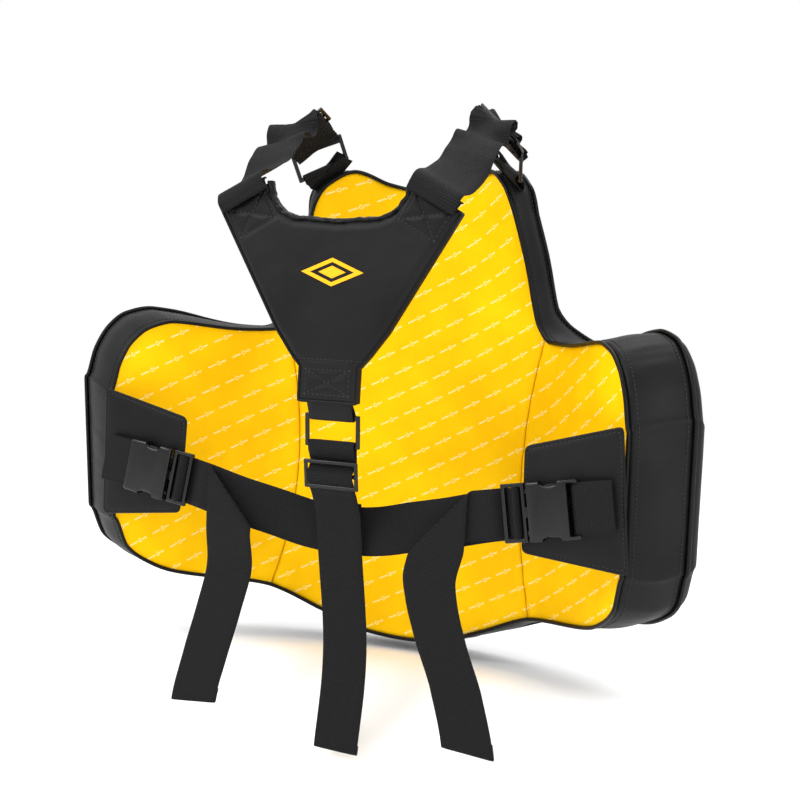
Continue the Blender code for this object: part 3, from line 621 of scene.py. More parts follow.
def panel_point(s_share, height_share, depth_share, inset=0.0, flared=0.0, lift=0.0):
    """A point of the whole panel. s_share runs -1..1 across, height_share 0..1 up."""
    s, z, clamped = panel_flat(s_share, height_share, inset, flared)
    return lining_point(s, z) + outward(clamped, z) * (depth_at(s, z) * depth_share + lift)


COLUMNS = [k / 146 for k in range(-146, 147)]       # a column every 2.5 mm of girth
HEIGHTS = [k / 84 for k in range(85)]


def outline_loop():
    """(s_share, height_share) pairs once round the panel's edge."""
    loop = [(c, 0.0) for c in COLUMNS]
    loop += [(1.0, h) for h in HEIGHTS[1:]]
    loop += [(c, 1.0) for c in reversed(COLUMNS[:-1])]
    loop += [(-1.0, h) for h in reversed(HEIGHTS[1:-1])]
    return loop


LOOP = outline_loop()
print("panel outline points:", len(LOOP))


# %% [markdown]
# ### Front cover
# The outer skin is stretched over four foam blocks, so shallow valleys run where they
# meet: down both side seams and across under the chest. The rest swells slightly. Its
# rim rolls over through a quarter turn to the gusset. A rim made as its own band of
# rings keeps the corners clean, where a plain grid would pinch.

# %% Front cover
def valley(distance, width, depth):
    """A smooth groove: how far the cover dips at a distance from a seam."""
    return -depth * math.exp(-(distance / width) ** 2)


def cover_relief(s, z):
    """Swell and seams of the outer skin, in metres outwards."""
    seam = abs(abs(s) - seam_girth(z))
    relief = valley(seam, 9 * MM, 4.5 * MM) * smoothstep((0.215 - z) / 0.06)
    inside = smoothstep((seam_girth(z) + 0.004 - abs(s)) / 0.01)
    relief += valley(z - 0.168, 8 * MM, 3.2 * MM) * inside
    relief += 1.4 * MM * noise.noise(Vector((s * 14, z * 14, 3.1)))
    relief += 0.5 * MM * noise.noise(Vector((s * 60, z * 38, 7.7)))
    return relief


def build_cover():
    """The outer skin of the padding with its rolled rim."""
    bm = bmesh.new()
    rings = []
    for k in range(9):
        roll = math.pi / 2 * k / 8
        inset = COVER_ROUND * (1 - math.cos(roll))
        depth = GUSSET_SHARE + (1 - GUSSET_SHARE) * math.sin(roll)
        rings.append([panel_point(c, h, depth, inset, 1.0, GAP * (1 - k / 8)
                                  + math.sin(roll) ** 3 * cover_relief(*panel_flat(c, h)[:2]))
                      for c, h in LOOP])
    skin(bm, rings)
    face = []
    for h in HEIGHTS:
        row = []
        for c in COLUMNS:
            s, z, _ = panel_flat(c, h)
            row.append(panel_point(c, h, 1.0, COVER_ROUND, 1.0, cover_relief(s, z)))
        face.append(row)
    skin(bm, face, closed_ring=False)
    bmesh.ops.remove_doubles(bm, verts=bm.verts, dist=0.05 * MM)
    bmesh.ops.recalc_face_normals(bm, faces=bm.faces)
    middle = min(bm.faces, key=lambda f: (f.calc_center_median()
                                          - Vector((0, 0.07, 0))).length)
    if middle.normal.y < 0:
        bmesh.ops.reverse_faces(bm, faces=bm.faces)
    obj = finish_mesh("front_cover_skin", bm, shell_leather, 60, outward_shell=False)
    solid = obj.modifiers.new("wall", "SOLIDIFY")
    solid.thickness = CLOTH * 0.8
    solid.offset = -1
    return applied(obj)


cover = place(build_cover(), "root", "pu_black", "front_cover")
print("front cover faces:", len(cover.data.polygons))


# %% [markdown]
# ### Gusset and piping
# The gusset is the long band that joins lining and cover all the way round. It is cut
# a little full, so it bulges between its two seams and creases where the outline
# turns. A piping cord is sewn in along each of its edges.

# %% Gusset and piping
BULGE = 3.4 * MM


def crease(place_on_loop, across):
    """Small wrinkles that fade towards the two seams of the gusset."""
    wave = noise.noise(Vector((place_on_loop * 46, across * 0.8, 1.7)))
    fine = noise.noise(Vector((place_on_loop * 120, across * 1.6, 5.2)))
    return (0.9 * wave + 0.45 * fine) * math.sin(math.pi * across) * MM


def build_gusset():
    """The side wall of the padding."""
    steps = 12
    run = 0.0
    places = []
    for i, (c, h) in enumerate(LOOP):
        here = panel_point(c, h, 0.4)
        if i:
            run += (here - last).length
        last = here
        places.append(run)
    rings = []
    for k in range(steps + 1):
        share = k / steps
        out = BULGE * math.sin(math.pi * share)
        rings.append([panel_point(c, h, GUSSET_SHARE * share,
                                  -out - crease(place_here, share), share, -GAP * share)
                      for (c, h), place_here in zip(LOOP, places)])
    bm = bmesh.new()
    skin(bm, rings)
    bmesh.ops.recalc_face_normals(bm, faces=bm.faces)
    top = max(bm.faces, key=lambda f: f.calc_center_median().z)
    if top.normal.z < 0:
        bmesh.ops.reverse_faces(bm, faces=bm.faces)
    obj = finish_mesh("gusset_band", bm, shell_leather, 70, outward_shell=False)
    solid = obj.modifiers.new("wall", "SOLIDIFY")
    solid.thickness = CLOTH * 0.8
    solid.offset = -1
    return applied(obj)


def tube(name, path, normals, radius, material, sides=10, closed=True):
    """A cord round a path. normals lie across the path at each point."""
    rings = []
    count = len(path)
    for i, centre in enumerate(path):
        ahead = path[(i + 1) % count if closed else min(i + 1, count - 1)]
        behind = path[i - 1 if closed or i else 0]
        along = (ahead - behind).normalized()
        side = normals[i].normalized()
        up = along.cross(side).normalized()
        side = up.cross(along)
        size = radius(i) if callable(radius) else radius
        rings.append([centre + size * (math.cos(a) * side + math.sin(a) * up)
                      for a in [2 * math.pi * k / sides for k in range(sides)]])
    bm = bmesh.new()
    made = skin(bm, rings, closed_run=closed)
    if not closed:
        bm.faces.new(made[0])
        bm.faces.new(made[-1])
    return finish_mesh(name, bm, material, 60)


def edge_run(depth_share, flared, out, lift):
    """A path along the panel's edge, moved out across it, with its side normals."""
    edge = [panel_point(c, h, depth_share, 0.0, flared, lift) for c, h in LOOP]
    deeper = [panel_point(c, h, depth_share, 0.0, flared, lift + 1 * MM) for c, h in LOOP]
    sides = []
    for i, point in enumerate(edge):
        along = edge[(i + 1) % len(edge)] - edge[i - 1]
        sides.append((deeper[i] - point).cross(along).normalized())
    return [p + side * out for p, side in zip(edge, sides)], sides


gusset = place(build_gusset(), "root", "pu_black", "gusset")
for name, run, node in (
        ("front_piping_cord", edge_run(GUSSET_SHARE, 1.0, PIPING_R, -0.4 * MM), "front_piping"),
        ("lining_piping_cord", edge_run(0.0, 0.0, 0.4 * MM, -PIPING_R + 0.4 * MM),
         "lining_piping")):
    cord = tube(name, *run, PIPING_R, trim_leather)
    place(cord, "root", "pu_black", node)
print("gusset faces:", len(gusset.data.polygons))


# %% [markdown]
# ### Lining
# Three cut panels meet at two curved seams. Each is flat cloth in girth and height, so
# its UV map is simply those two, and its flat area is exact. The cloth dips into each
# seam and puckers a little beside it.

# %% Lining
def lining_relief(s, z):
    """How far the lining dips (+) into the padding or swells (-) to the wearer."""
    seam = abs(abs(s) - seam_girth(z))
    dip = 2.0 * MM * math.exp(-(seam / (3.5 * MM)) ** 2)
    dip -= 1.0 * MM * math.exp(-((seam - 12 * MM) / (7 * MM)) ** 2)
    pucker = noise.noise(Vector((s * 25, z * 75, 2.3)))
    dip += 0.7 * MM * pucker * math.exp(-(seam / (12 * MM)) ** 2)
    dip += 1.3 * MM * noise.noise(Vector((s * 11, z * 13, 9.1)))
    dip += 0.45 * MM * noise.noise(Vector((s * 42, z * 50, 4.4)))
    return dip


def build_lining(name, kind, side):
    """One lining panel between the seams, with its flat area."""
    columns = [k / 56 for k in range(-56, 57)] if kind == "centre" else [
        k / 76 for k in range(77)]
    rows = 120
    grid, flat = [], []
    for i in range(rows + 1):
        row, flat_row = [], []
        for c in columns:
            if kind == "centre":
                low = edge_heights(abs(c) * SEAM_BOTTOM)[0]
                high = edge_heights(abs(c) * SEAM_TOP)[1]
            else:
                low = edge_heights(SEAM_BOTTOM + c * (HALF_GIRTH - SEAM_BOTTOM))[0]
                high = edge_heights(SEAM_TOP + c * (HALF_GIRTH - SEAM_TOP))[1]
            z = low + (high - low) * i / rows
            seam = seam_girth(z)
            s = c * (seam - 0.3 * MM)
            if kind == "side":
                s = side * (seam + 0.3 * MM + c * (HALF_GIRTH - seam - 0.3 * MM))
            row.append(lining_point(s, z) + outward(s, z) * (lining_relief(s, z) + 0.4 * MM))
            flat_row.append((s, z))
        grid.append(row)
        flat.append(flat_row)
    bm = bmesh.new()
    made = skin(bm, grid, closed_ring=False)
    uv = bm.loops.layers.uv.verify()
    where = {v: flat[i][j] for i, row in enumerate(made) for j, v in enumerate(row)}
    area = 0.0
    for face in bm.faces:
        corners = [where[v] for v in face.verts]
        area += abs(sum(a[0] * b[1] - b[0] * a[1]
                        for a, b in zip(corners, corners[1:] + corners[:1]))) / 2
        for loop in face.loops:
            loop[uv].uv = where[loop.vert]
    if bm.faces[0:1] and sum(f.normal.y for f in bm.faces) > 0:
        bmesh.ops.reverse_faces(bm, faces=bm.faces)
    obj = finish_mesh(name, bm, lining_nylon, 60, outward_shell=False)
    solid = obj.modifiers.new("wall", "SOLIDIFY")
    solid.thickness = 1.0 * MM
    solid.offset = -1
    width = max(p[0] for r in flat for p in r) - min(p[0] for r in flat for p in r)
    height = max(p[1] for r in flat for p in r) - min(p[1] for r in flat for p in r)
    return applied(obj), (width, height), area


for part, kind, side, foam in (("centre", "centre", 1, ["belly_foam", "chest_foam"]),
                               ("left", "side", -1, ["left_side_foam"]),
                               ("right", "side", 1, ["right_side_foam"])):
    cloth, flat_size, flat_area = build_lining(part + "_lining_cloth", kind, side)
    place(cloth, "root", "lining_yellow", part + "_lining")
    print(part, "lining flat area m2:", round(flat_area, 4))

# %% [markdown]
# ## Back pad
# The Y-shaped pad lies between the shoulder blades. It is a thin cushion: a face that
# crowns in from its piped rim, a low wall, and a flat back sheet. A grid swept from the
# middle to each horn follows its outline, and the height over every grid point comes
# from its distance to the rim, less the dents that the X-box stitching pulls in.

# %% Back pad cushion
PAD_Y = -232 * MM                   # face nearest the panel
PAD_T = 16 * MM
PAD_FACE = PAD_Y - PAD_T
PAD_SIDE = [(0, 76), (31, 76), (31, 110), (41, 121), (60, 146), (83, 184.7),
            (106, 223.3), (129, 262)]
PAD_TOP = [(0, 252), (20, 253.3), (34, 254.3), (46, 255), (62, 262), (73, 275),
           (75, 282), (77, 291)]
RIM_DROP = 4.2 * MM                 # the rim lies this far behind the crowned face
HORN_BOX = [(83, 284), (121, 262.5), (105, 235), (67, 256)]
TAB_BOX = [(-24, 82), (24, 82), (24, 107), (-24, 107)]


def x_box(corners):
    """The lines of an X-box seam: four sides and both diagonals, in mm."""
    sides = list(zip(corners, corners[1:] + corners[:1]))
    return sides + [(corners[0], corners[2]), (corners[1], corners[3])]


PAD_SEAMS = x_box(HORN_BOX) + x_box([(-x, z) for x, z in HORN_BOX]) + x_box(TAB_BOX)
PAD_SEAMS += [((-40, 117), (40, 117))]


def distance_to(x, z, a, b):
    """Distance in mm from a point to the line between a and b."""
    dx, dz = b[0] - a[0], b[1] - a[1]
    t = ((x - a[0]) * dx + (z - a[1]) * dz) / (dx * dx + dz * dz)
    t = min(1.0, max(0.0, t))
    return math.hypot(x - a[0] - t * dx, z - a[1] - t * dz)


def pad_height(x, z):
    """Height of the pad's face above its back sheet, at a place in mm."""
    rim = PAD_SIDE + PAD_TOP[::-1]
    edge = min(distance_to(abs(x), z, a, b) for a, b in zip(rim, rim[1:]))
    rise = 1 - (1 - min(1.0, edge / 11)) ** 2.4
    seam = min(distance_to(x, z, a, b) for a, b in PAD_SEAMS)
    dent = 1.0 * MM * math.exp(-(seam / 2.2) ** 2) * min(1.0, edge / 3)
    ripple = 0.35 * MM * noise.noise(Vector((x / 16, z / 16, 0.4)))
    return PAD_T - RIM_DROP * (1 - rise) - dent + ripple * rise


def pad_grid(rows=84):
    """Places in mm over the pad: one column after another from horn to horn."""
    half = []
    for (a, b), (c, d) in zip(zip(PAD_SIDE, PAD_TOP), zip(PAD_SIDE[1:], PAD_TOP[1:])):
        far = max(math.dist(a, c), math.dist(b, d))
        steps = max(3, round(far / 2.2))
        for k in range(steps):
            t = k / steps
            half.append([(p[0] + (q[0] - p[0]) * t, p[1] + (q[1] - p[1]) * t)
                         for p, q in ((a, c), (b, d))])
    half.append([PAD_SIDE[-1], PAD_TOP[-1]])
    columns = [[(-x, z) for x, z in pair] for pair in reversed(half[1:])] + half
    grid = []
    for i in range(rows + 1):
        t = 0.5 - 0.5 * math.cos(math.pi * i / rows)
        t = 0.6 * t + 0.4 * i / rows
        grid.append([(low[0] + (high[0] - low[0]) * t, low[1] + (high[1] - low[1]) * t)
                     for low, high in columns])
    return grid


def build_pad():
    """Face, wall and back sheet of the pad as one closed cushion."""
    places = pad_grid()
    face = [[Vector((x * MM, PAD_Y - pad_height(x, z), z * MM)) for x, z in row]
            for row in places]
    back = [[Vector((x * MM, PAD_Y, z * MM)) for x, z in row] for row in places]
    bm = bmesh.new()
    skin(bm, face, closed_ring=False)
    rim = places[0] + [row[-1] for row in places[1:]]
    rim += places[-1][-2::-1] + [row[0] for row in places[-2:0:-1]]
    rings = []
    for out, share in ((0, 1.0), (1.1, 0.8), (1.5, 0.5), (1.1, 0.2), (0, 0.0)):
        ring = []
        for i, (x, z) in enumerate(rim):
            before, after = rim[i - 1], rim[(i + 1) % len(rim)]
            run = Vector((after[0] - before[0], after[1] - before[1])).normalized()
            height = (PAD_T - RIM_DROP) * share
            if share == 1.0:
                height = pad_height(x, z)
            ring.append(Vector(((x + run.y * out) * MM, PAD_Y - height,
                                (z - run.x * out) * MM)))
        rings.append(ring)
    skin(bm, rings)
    skin(bm, back, closed_ring=False)
    return finish_mesh("back_pad_cushion", bm, shell_leather, 50), rim


pad, pad_rim = build_pad()
place(pad, "harness", "pu_black", "back_pad_cover", "back_pad_lining")

side_run = [(x, z) for x, z in pad_rim[:len(pad_grid(1)[0])]]
piping_path, piping_sides = [], []
for i, (x, z) in enumerate(side_run):
    before, after = side_run[max(i - 1, 0)], side_run[min(i + 1, len(side_run) - 1)]
    run = Vector((after[0] - before[0], 0, after[1] - before[1])).normalized()
    out = Vector((run.z, 0, -run.x))
    piping_path.append(Vector((x * MM, PAD_FACE + 4.4 * MM, z * MM)) + out * 0.9 * MM)
    piping_sides.append(out)
pad_cord = tube("back_pad_piping_cord", piping_path, piping_sides, 1.7 * MM, trim_leather,
                closed=False)
place(pad_cord, "harness", "pu_black", "back_pad_piping")
print("pad faces:", len(pad.data.polygons))


# %% [markdown]
# ### Neck binding and diamond
# The neckline is bound with a strip of the same leather, sewn on while it is stretched,
# so it gathers into small ruffles. Its section is an oval whose size wanders along the
# way. The print is a raised lozenge in a lozenge frame.

# %% Neck binding and diamond
def build_binding():
    """A gathered oval binding along the neckline."""
    knots = [Vector((x * MM, PAD_Y - 8.5 * MM, (z + 1.2) * MM)) for x, z in PAD_TOP]
    knots = [Vector((-p.x, p.y, p.z)) for p in reversed(knots[1:])] + knots
    path = smooth_path(knots, 14)
    lengths = running_length(path)
    rings = []
    for i, centre in enumerate(path):
        along = (path[min(i + 1, len(path) - 1)] - path[max(i - 1, 0)]).normalized()
        side = along.cross(AWAY).normalized()
        ring = []
        for k in range(14):
            a = 2 * math.pi * k / 14
            ruffle = noise.noise(Vector((lengths[i] * 170, math.cos(a) * 0.7, math.sin(a))))
            size = 1 + 0.30 * ruffle
            ring.append(centre + size * (math.cos(a) * 6.4 * MM * AWAY
                                         + math.sin(a) * 3.0 * MM * side))
        rings.append(ring)
    bm = bmesh.new()
    made = skin(bm, rings)
    bm.faces.new(made[0])
    bm.faces.new(made[-1])
    return finish_mesh("neck_binding_gathered", bm, trim_leather, 60)


def build_diamond():
    """A lozenge inside a lozenge frame, raised from the pad."""
    middle = 203 * MM
    low, high = PAD_FACE + 0.3 * MM, PAD_FACE - 1.0 * MM
    bm = bmesh.new()

    def lozenge(wide, tall, y):
        return [Vector((a * wide * MM, y, middle + b * tall * MM))
                for a, b in ((1, 0), (0, 1), (-1, 0), (0, -1))]

    skin(bm, [lozenge(34, 14, low), lozenge(34, 14, high + 0.3 * MM), lozenge(33, 13.6, high),
              lozenge(25, 10.3, high), lozenge(24, 9.9, high + 0.3 * MM),
              lozenge(24, 9.9, low)], closed_run=True)
    made = skin(bm, [lozenge(15, 6.2, low), lozenge(15, 6.2, high + 0.3 * MM),
                     lozenge(14, 5.8, high)])
    bm.faces.new(made[0])
    bm.faces.new(made[-1])
    return finish_mesh("raised_diamond_print", bm, raised_print, 30)


place(build_binding(), "harness", "pu_black", "neck_binding")
place(build_diamond(), "harness", "emblem_yellow", "back_pad_emblem")
print("binding and diamond on the pad")


# %% [markdown]
# ## Webbing
# A strap is a grid of points on its middle surface, across and along, given a woven
# tape's thickness with rounded selvedges. A free end is hemmed: the grid carries on,
# turns back on itself and lies flat for a short way. UVs keep the distance across and
# along, so the weave never stretches.

# %% Strap tools
def ribbon(name, grid, width, thickness, material=web_woven):
    """A closed tape round a grid of middle-surface points, rows along its length."""
    rows, columns = len(grid), len(grid[0])
    places = [width * (j / (columns - 1) - 0.5) for j in range(columns)]
    lengths = running_length([row[columns // 2] for row in grid])
    rings = []
    for i, row in enumerate(grid):
        ahead, behind = grid[min(i + 1, rows - 1)], grid[max(i - 1, 0)]
        top, bottom = [], []
        for j, point in enumerate(row):
            along = ahead[j] - behind[j]
            side = row[min(j + 1, columns - 1)] - row[max(j - 1, 0)]
            face = along.cross(side).normalized()
            half = thickness / 2 * (0.7 if j in (0, columns - 1) else 1.0)
            top.append(point + face * half)
            bottom.append(point - face * half)
        right = (row[-1] - row[-2]).normalized() * thickness * 0.3
        left = (row[0] - row[1]).normalized() * thickness * 0.3
        rings.append([*top, row[-1] + right, *reversed(bottom), row[0] + left])
    us = [*places, places[-1], *reversed(places), places[0], places[0]]
    bm = bmesh.new()
    made = skin(bm, rings, us, lengths)
    bm.faces.new(made[0])
    bm.faces.new(made[-1])
    return finish_mesh(name, bm, material, 55)


def rows_along(path, across, width, columns=9):
    """Rows of points across a path. across is one direction, or one for each point."""
    if isinstance(across, Vector):
        across = [across] * len(path)
    grid = []
    for i, centre in enumerate(path):
        along = (path[min(i + 1, len(path) - 1)] - path[max(i - 1, 0)]).normalized()
        side = (across[i] - across[i].dot(along) * along).normalized()
        grid.append([centre + side * width * (j / (columns - 1) - 0.5)
                     for j in range(columns)])
    return grid


def hemmed(grid, depth=17 * MM, turn_radius=1.2 * MM, toward=AWAY):
    """Adds a hem: the grid's end turned back on the side given by toward."""
    last, before = grid[-1], grid[-2]
    along = (last[0] - before[0]).normalized()
    face = (toward - toward.dot(along) * along).normalized()
    added = []
    for k in range(1, 7):
        angle = math.pi * k / 6
        shift = along * math.sin(angle) + face * (1 - math.cos(angle))
        added.append([p + shift * turn_radius for p in last])
    step = (last[0] - before[0]).length
    for k in range(1, max(2, round(depth / step))):
        added.append([p + face * 2 * turn_radius for p in grid[-1 - k]])
    return grid + added


def arc_points(centre, radius, first, second, start, end, steps=10):
    """An arc round centre, from angle start to end, in the plane of two directions."""
    turns = [start + (end - start) * k / steps for k in range(steps + 1)]
    return [centre + radius * (math.cos(a) * first + math.sin(a) * second) for a in turns]


def turning(first, last, count):
    """count directions that turn evenly from first to last."""
    return [first.lerp(last, smoothstep(k / (count - 1))).normalized() for k in range(count)]


WEB = 50 * MM
SHOULDER_WEB = 54 * MM
WEB_T = 2.0 * MM
RING_BAR = 4.5 * MM
RING_HEIGHT = 34 * MM
BAR_Z = RING_HEIGHT / 2 - RING_BAR / 2
print("webbing widths mm:", WEB / MM, SHOULDER_WEB / MM)


# %% [markdown]
# ### Shoulder straps
# Each strap is one length of tape. It starts under the tri-glide, turns round the ring's
# upper bar, threads the tri-glide over its middle bar, climbs over the shoulder and ends
# in a roll at the pad's horn.

# %% Shoulder straps
HINGE_X = 112 * MM
HINGE_Y = -160 * MM
HINGE_Z = 346 * MM
RING_CENTRE = (113, -64, 346)
RING_UPRIGHT = (0.02, -0.41, 0.91)
SHOULDER_RISE = (0.03, -0.95, 0.27)
GLIDE_AT = 27 * MM                  # along the strap from where it leaves the ring
GLIDE_LIFT = 6 * MM
RING_CLEAR = 5.6 * MM               # the strap leaves this far behind the ring
SHOULDER_BACK = [(111, -178, 331), (110, -198, 311), (108, -224, 296), (108, -247, 290),
                 (105, -254.5, 281)]
# (along the strap, height over it) in mm, from the ring's bar
UNDER_LAYER = [(46, -5.6), (32, -5.6), (16, -4.8), (6, -4.2)]
OVER_RING = [(7, 3.9), (13, 2.2)]
PAST_GLIDE = [(50, -1.8), (57, -2.8)]
# the same, from the tri-glide's middle: under both rails and over the middle bar
ROUND_GLIDE = [(-11.8, -3.2), (-6.4, -0.9), (0, 2.8), (6.4, -0.9), (11.8, -3.2)]


def horn_edge(side):
    """Direction of the front horn's top edge, pointing away from the middle."""
    inner = lining_point(side * 80 * MM, 334 * MM)
    outer = lining_point(side * 118 * MM, 308 * MM)
    return (outer - inner).normalized()


def ring_frame(side):
    """Axes of a shoulder ring, as it hangs between its tab and the strap."""
    upright = Vector((RING_UPRIGHT[0] * side, *RING_UPRIGHT[1:]))
    return axes_matrix(mirrored([RING_CENTRE], side)[0], side * horn_edge(side), upright)


def build_shoulder_strap(side, name):
    """The whole strap from the tri-glide to the pad."""
    edge = horn_edge(side)
    bar = ring_frame(side) @ Vector((0, 0, BAR_Z))
    rise = Vector((SHOULDER_RISE[0] * side, *SHOULDER_RISE[1:])).normalized()
    across = (edge - edge.dot(rise) * rise).normalized() * side
    above = axes_matrix(bar, across, rise).col[1].xyz

    leaves = ring_frame(side) @ Vector((0, -RING_CLEAR, BAR_Z + 1 * MM))
    glide = leaves + rise * GLIDE_AT + above * GLIDE_LIFT

    def beside(origin, points):
        return [origin + rise * u * MM + above * v * MM for u, v in points]

    under = smooth_path(beside(bar, UNDER_LAYER), 5)
    loop = arc_points(bar, 4.2 * MM, rise, above, -math.pi / 2, -3 * math.pi / 2, 14)
    hinge = Vector((side * HINGE_X, HINGE_Y, HINGE_Z))
    knee = hinge + Vector((0, 18, 9)) * MM
    threaded = (beside(bar, OVER_RING) + beside(glide, ROUND_GLIDE)
                + beside(bar, PAST_GLIDE))
    knots = [*threaded, knee, hinge, *mirrored(SHOULDER_BACK, side)]
    down = Vector((-0.46 * side, 0, -0.888))
    low = mirrored(SHOULDER_BACK[-1:], side)[0] + down * 8 * MM
    main = smooth_path([*knots, low], 7)
    roll = arc_points(low + AWAY * 2.4 * MM, 2.4 * MM, -AWAY, down, 0, math.pi, 8)[1:]
    last = roll[-1] - down * 5 * MM
    tuck = [last, last - down * 5 * MM + AWAY * 3 * MM, last - down * 6 * MM + AWAY * 8 * MM]
    path = under + loop + main + roll + smooth_path(tuck, 3)
    straight = len(under) + len(loop) + 7 * len(threaded)
    horn_across = Vector((0.888 * side, 0, -0.46))
    turned = [edge] * straight + turning(edge, horn_across, 7 * 5)
    turned += [horn_across] * (len(path) - len(turned))
    strap = ribbon(name, rows_along(path, turned, SHOULDER_WEB), SHOULDER_WEB, WEB_T)
    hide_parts(name + "_front", name + "_back")
    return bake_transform(strap)


def build_front_tab(side, name):
    """Webbing from the front horn round the ring's lower bar and back."""
    frame_here = ring_frame(side)
    first, second = frame_here.col[1].xyz, frame_here.col[2].xyz
    bar = frame_here @ Vector((0, 0, -BAR_Z))
    root = panel_point(side * 97 * MM / HALF_GIRTH, 1.0, 0.3) + UP * 0.5 * MM
    toward = frame_here.inverted() @ root + Vector((0, 0, BAR_Z))
    lean = math.atan2(-toward.y, -toward.z)         # the loop opens toward its root
    loop = arc_points(bar, 4.0 * MM, first, second, math.pi - lean, -lean, 12)
    over = smooth_path([loop[-1], root.lerp(loop[-1], 0.5) + first * 1.6 * MM,
                        root + first * 1.2 * MM], 5)
    below = smooth_path([root - first * 1.2 * MM, loop[0]], 5)
    path = below[:-1] + loop + over[1:]
    tab_width = SHOULDER_WEB - 3 * MM
    return ribbon(name, rows_along(path, horn_edge(side), tab_width), tab_width, 1.8 * MM)


for side, name in ((-1, "left"), (1, "right")):
    build_shoulder_strap(side, name + "_strap")
    place(build_front_tab(side, name + "_front_webbing"), "root", "webbing_black",
          name + "_front_tab")
print("shoulder straps: 2")


# %% [markdown]
# ### Centre strap, its tab and the waist belt
# A leather tab hangs the centre ring from the pad. The strap turns round the ring's
# lower bar, threads the tri-glide and hangs down with a hem at its end. The belt runs
# behind it through a small keeper, from one buckle to the other.

# %% Centre strap and waist belt
TAB_LEAN = math.radians(33)
CENTRE_RING = Vector((0, -227, 46)) * MM
CENTRE_BACK = [(-218.6, 9), (-219.4, 17), (-220.7, 25)]      # (y, z) in mm
CENTRE_DOWN = [(-228.4, 26), (-224.6, 19.5), (-221.8, 14.2), (-224, 8.5), (-228.9, 1),
               (-223.6, -7.5), (-220.4, -13.4), (-213.5, -22), (-200, -45), (-189, -80),
               (-179, -130), (-172, -180), (-170, -235), (-173, -297.5)]
BELT_HALF = [(0, -180.5, -60), (40, -184, -56.5), (80, -190.5, -47), (120, -196, -38),
             (160, -198.6, -27.5), (198, -197.8, -19.5)]


def build_centre_strap():
    """The strap that joins the pad to the belt."""
    upright = Vector((0, -0.12, 0.99)).normalized()
    normal = upright.cross(Vector((1, 0, 0)))
    bar = CENTRE_RING - upright * BAR_Z
    back = [Vector((0, y, z)) * MM for y, z in CENTRE_BACK]
    loop = arc_points(bar, 4.1 * MM, normal, upright, 0, math.pi, 12)
    front = [Vector((0, y, z)) * MM for y, z in CENTRE_DOWN]
    path = smooth_path(back, 4) + loop + smooth_path(front, 8)
    path = [p + Vector((2.2 * MM * math.sin(p.z * 24), 0, 0)) * smoothstep(-p.z / 0.1)
            for p in path]
    grid = hemmed(rows_along(path, Vector((1, 0, 0)), WEB))
    return ribbon("centre_webbing", grid, WEB, WEB_T)


def build_centre_tab():
    """Leather folded round the ring's upper bar and sewn into the pad."""
    upright = Vector((0, -0.12, 0.99)).normalized()
    normal = upright.cross(Vector((1, 0, 0)))
    bar = CENTRE_RING + upright * BAR_Z
    ends = [Vector((0, -240 + dy, 79)) * MM for dy in (-1.6, 1.6)]
    loop = arc_points(bar, 4.0 * MM, -normal, -upright, TAB_LEAN, TAB_LEAN + math.pi, 12)
    path = smooth_path([ends[0], loop[0]], 5)[:-1] + loop
    path += smooth_path([loop[-1], ends[1]], 5)[1:]
    return ribbon("centre_leather_tab", rows_along(path, Vector((1, 0, 0)), 48 * MM),
                  48 * MM, 1.6 * MM, shell_leather)


def build_keeper():
    """A narrow loop of tape round the belt."""
    _, y, z = BELT_HALF[0]
    corner, wide, tall = 2.0, 4.2, 28.8
    path = []
    for dy, dz, start in ((-1, 1, 0.5), (-1, -1, 1.0), (1, -1, 1.5), (1, 1, 2.0)):
        middle = Vector((0, y + dy * (wide - corner), z + dz * (tall - corner))) * MM
        path += arc_points(middle, corner * MM, AWAY, UP, start * math.pi,
                           (start + 0.5) * math.pi, 4)
    path.append(path[0].copy())
    return ribbon("belt_keeper_loop", rows_along(path, Vector((1, 0, 0)), 28 * MM, 7),
                  28 * MM, 1.2 * MM)


half_belt = [Vector(p) * MM for p in BELT_HALF]
belt_run = [Vector((-p.x, p.y, p.z)) for p in reversed(half_belt[1:])] + half_belt
belt_rows = rows_along(smooth_path(belt_run, 10), UP, WEB)
place(ribbon("waist_belt_webbing", belt_rows, WEB, WEB_T), "root", "webbing_black",
      "waist_belt")
place(build_keeper(), "root", "webbing_black", "belt_keeper")
place(build_centre_strap(), "centre_link", "webbing_black", "centre_strap")
place(build_centre_tab(), "harness", "pu_black", "centre_tab")
print("centre strap and belt done")


# %% [markdown]
# ### Loose ends of the belt
# Each loose end comes out of its buckle under the frame's end bar, folds over itself on
# a slant and drops. The fold is made as paper folds: every point of the tape past a
# slanting line rolls round a small cylinder along that line and carries on, mirrored,
# on the other side. Below the fold the tape follows the way it hangs.

# %% Loose ends
BELT_SLOPE = math.radians(9.4)
BUCKLE_MOUTH = (204, -205, -18)
# (along the belt, away from the wearer's back) in mm in the buckle's own axes
TAIL_LEAD = [(-8.6, 2.6), (-9.4, -0.6), (-13, -3.9), (-17.6, -0.8), (-21, 3.2), (-25, 4.3),
             (-30, 3.2), (-37, -1.4), (-45, -3.4)]
FOLD_RADIUS = 3.2 * MM
RIGHT_HANG = [(-62, 0, -210), (-100, -9, -204), (-150, -1, -194), (-210, 18, -183),
              (-280, 33, -175)]    # (z, sideways shift, y) in mm
LEFT_HANG = [(-62, 0, -210), (-105, 2, -203), (-160, 18, -196), (-215, 36, -190),
             (-271, 52, -184)]


def buckle_frame(side):
    """Buckle axes: X runs along the belt to the wing, Y away from the wearer."""
    along = Vector((side * math.cos(BELT_SLOPE), 0, math.sin(BELT_SLOPE)))
    up = Vector((-side * math.sin(BELT_SLOPE), 0, math.cos(BELT_SLOPE)))
    turned = Matrix((along, AWAY, up)).transposed().to_4x4()
    return Matrix.Translation(mirrored([BUCKLE_MOUTH], side)[0]) @ turned


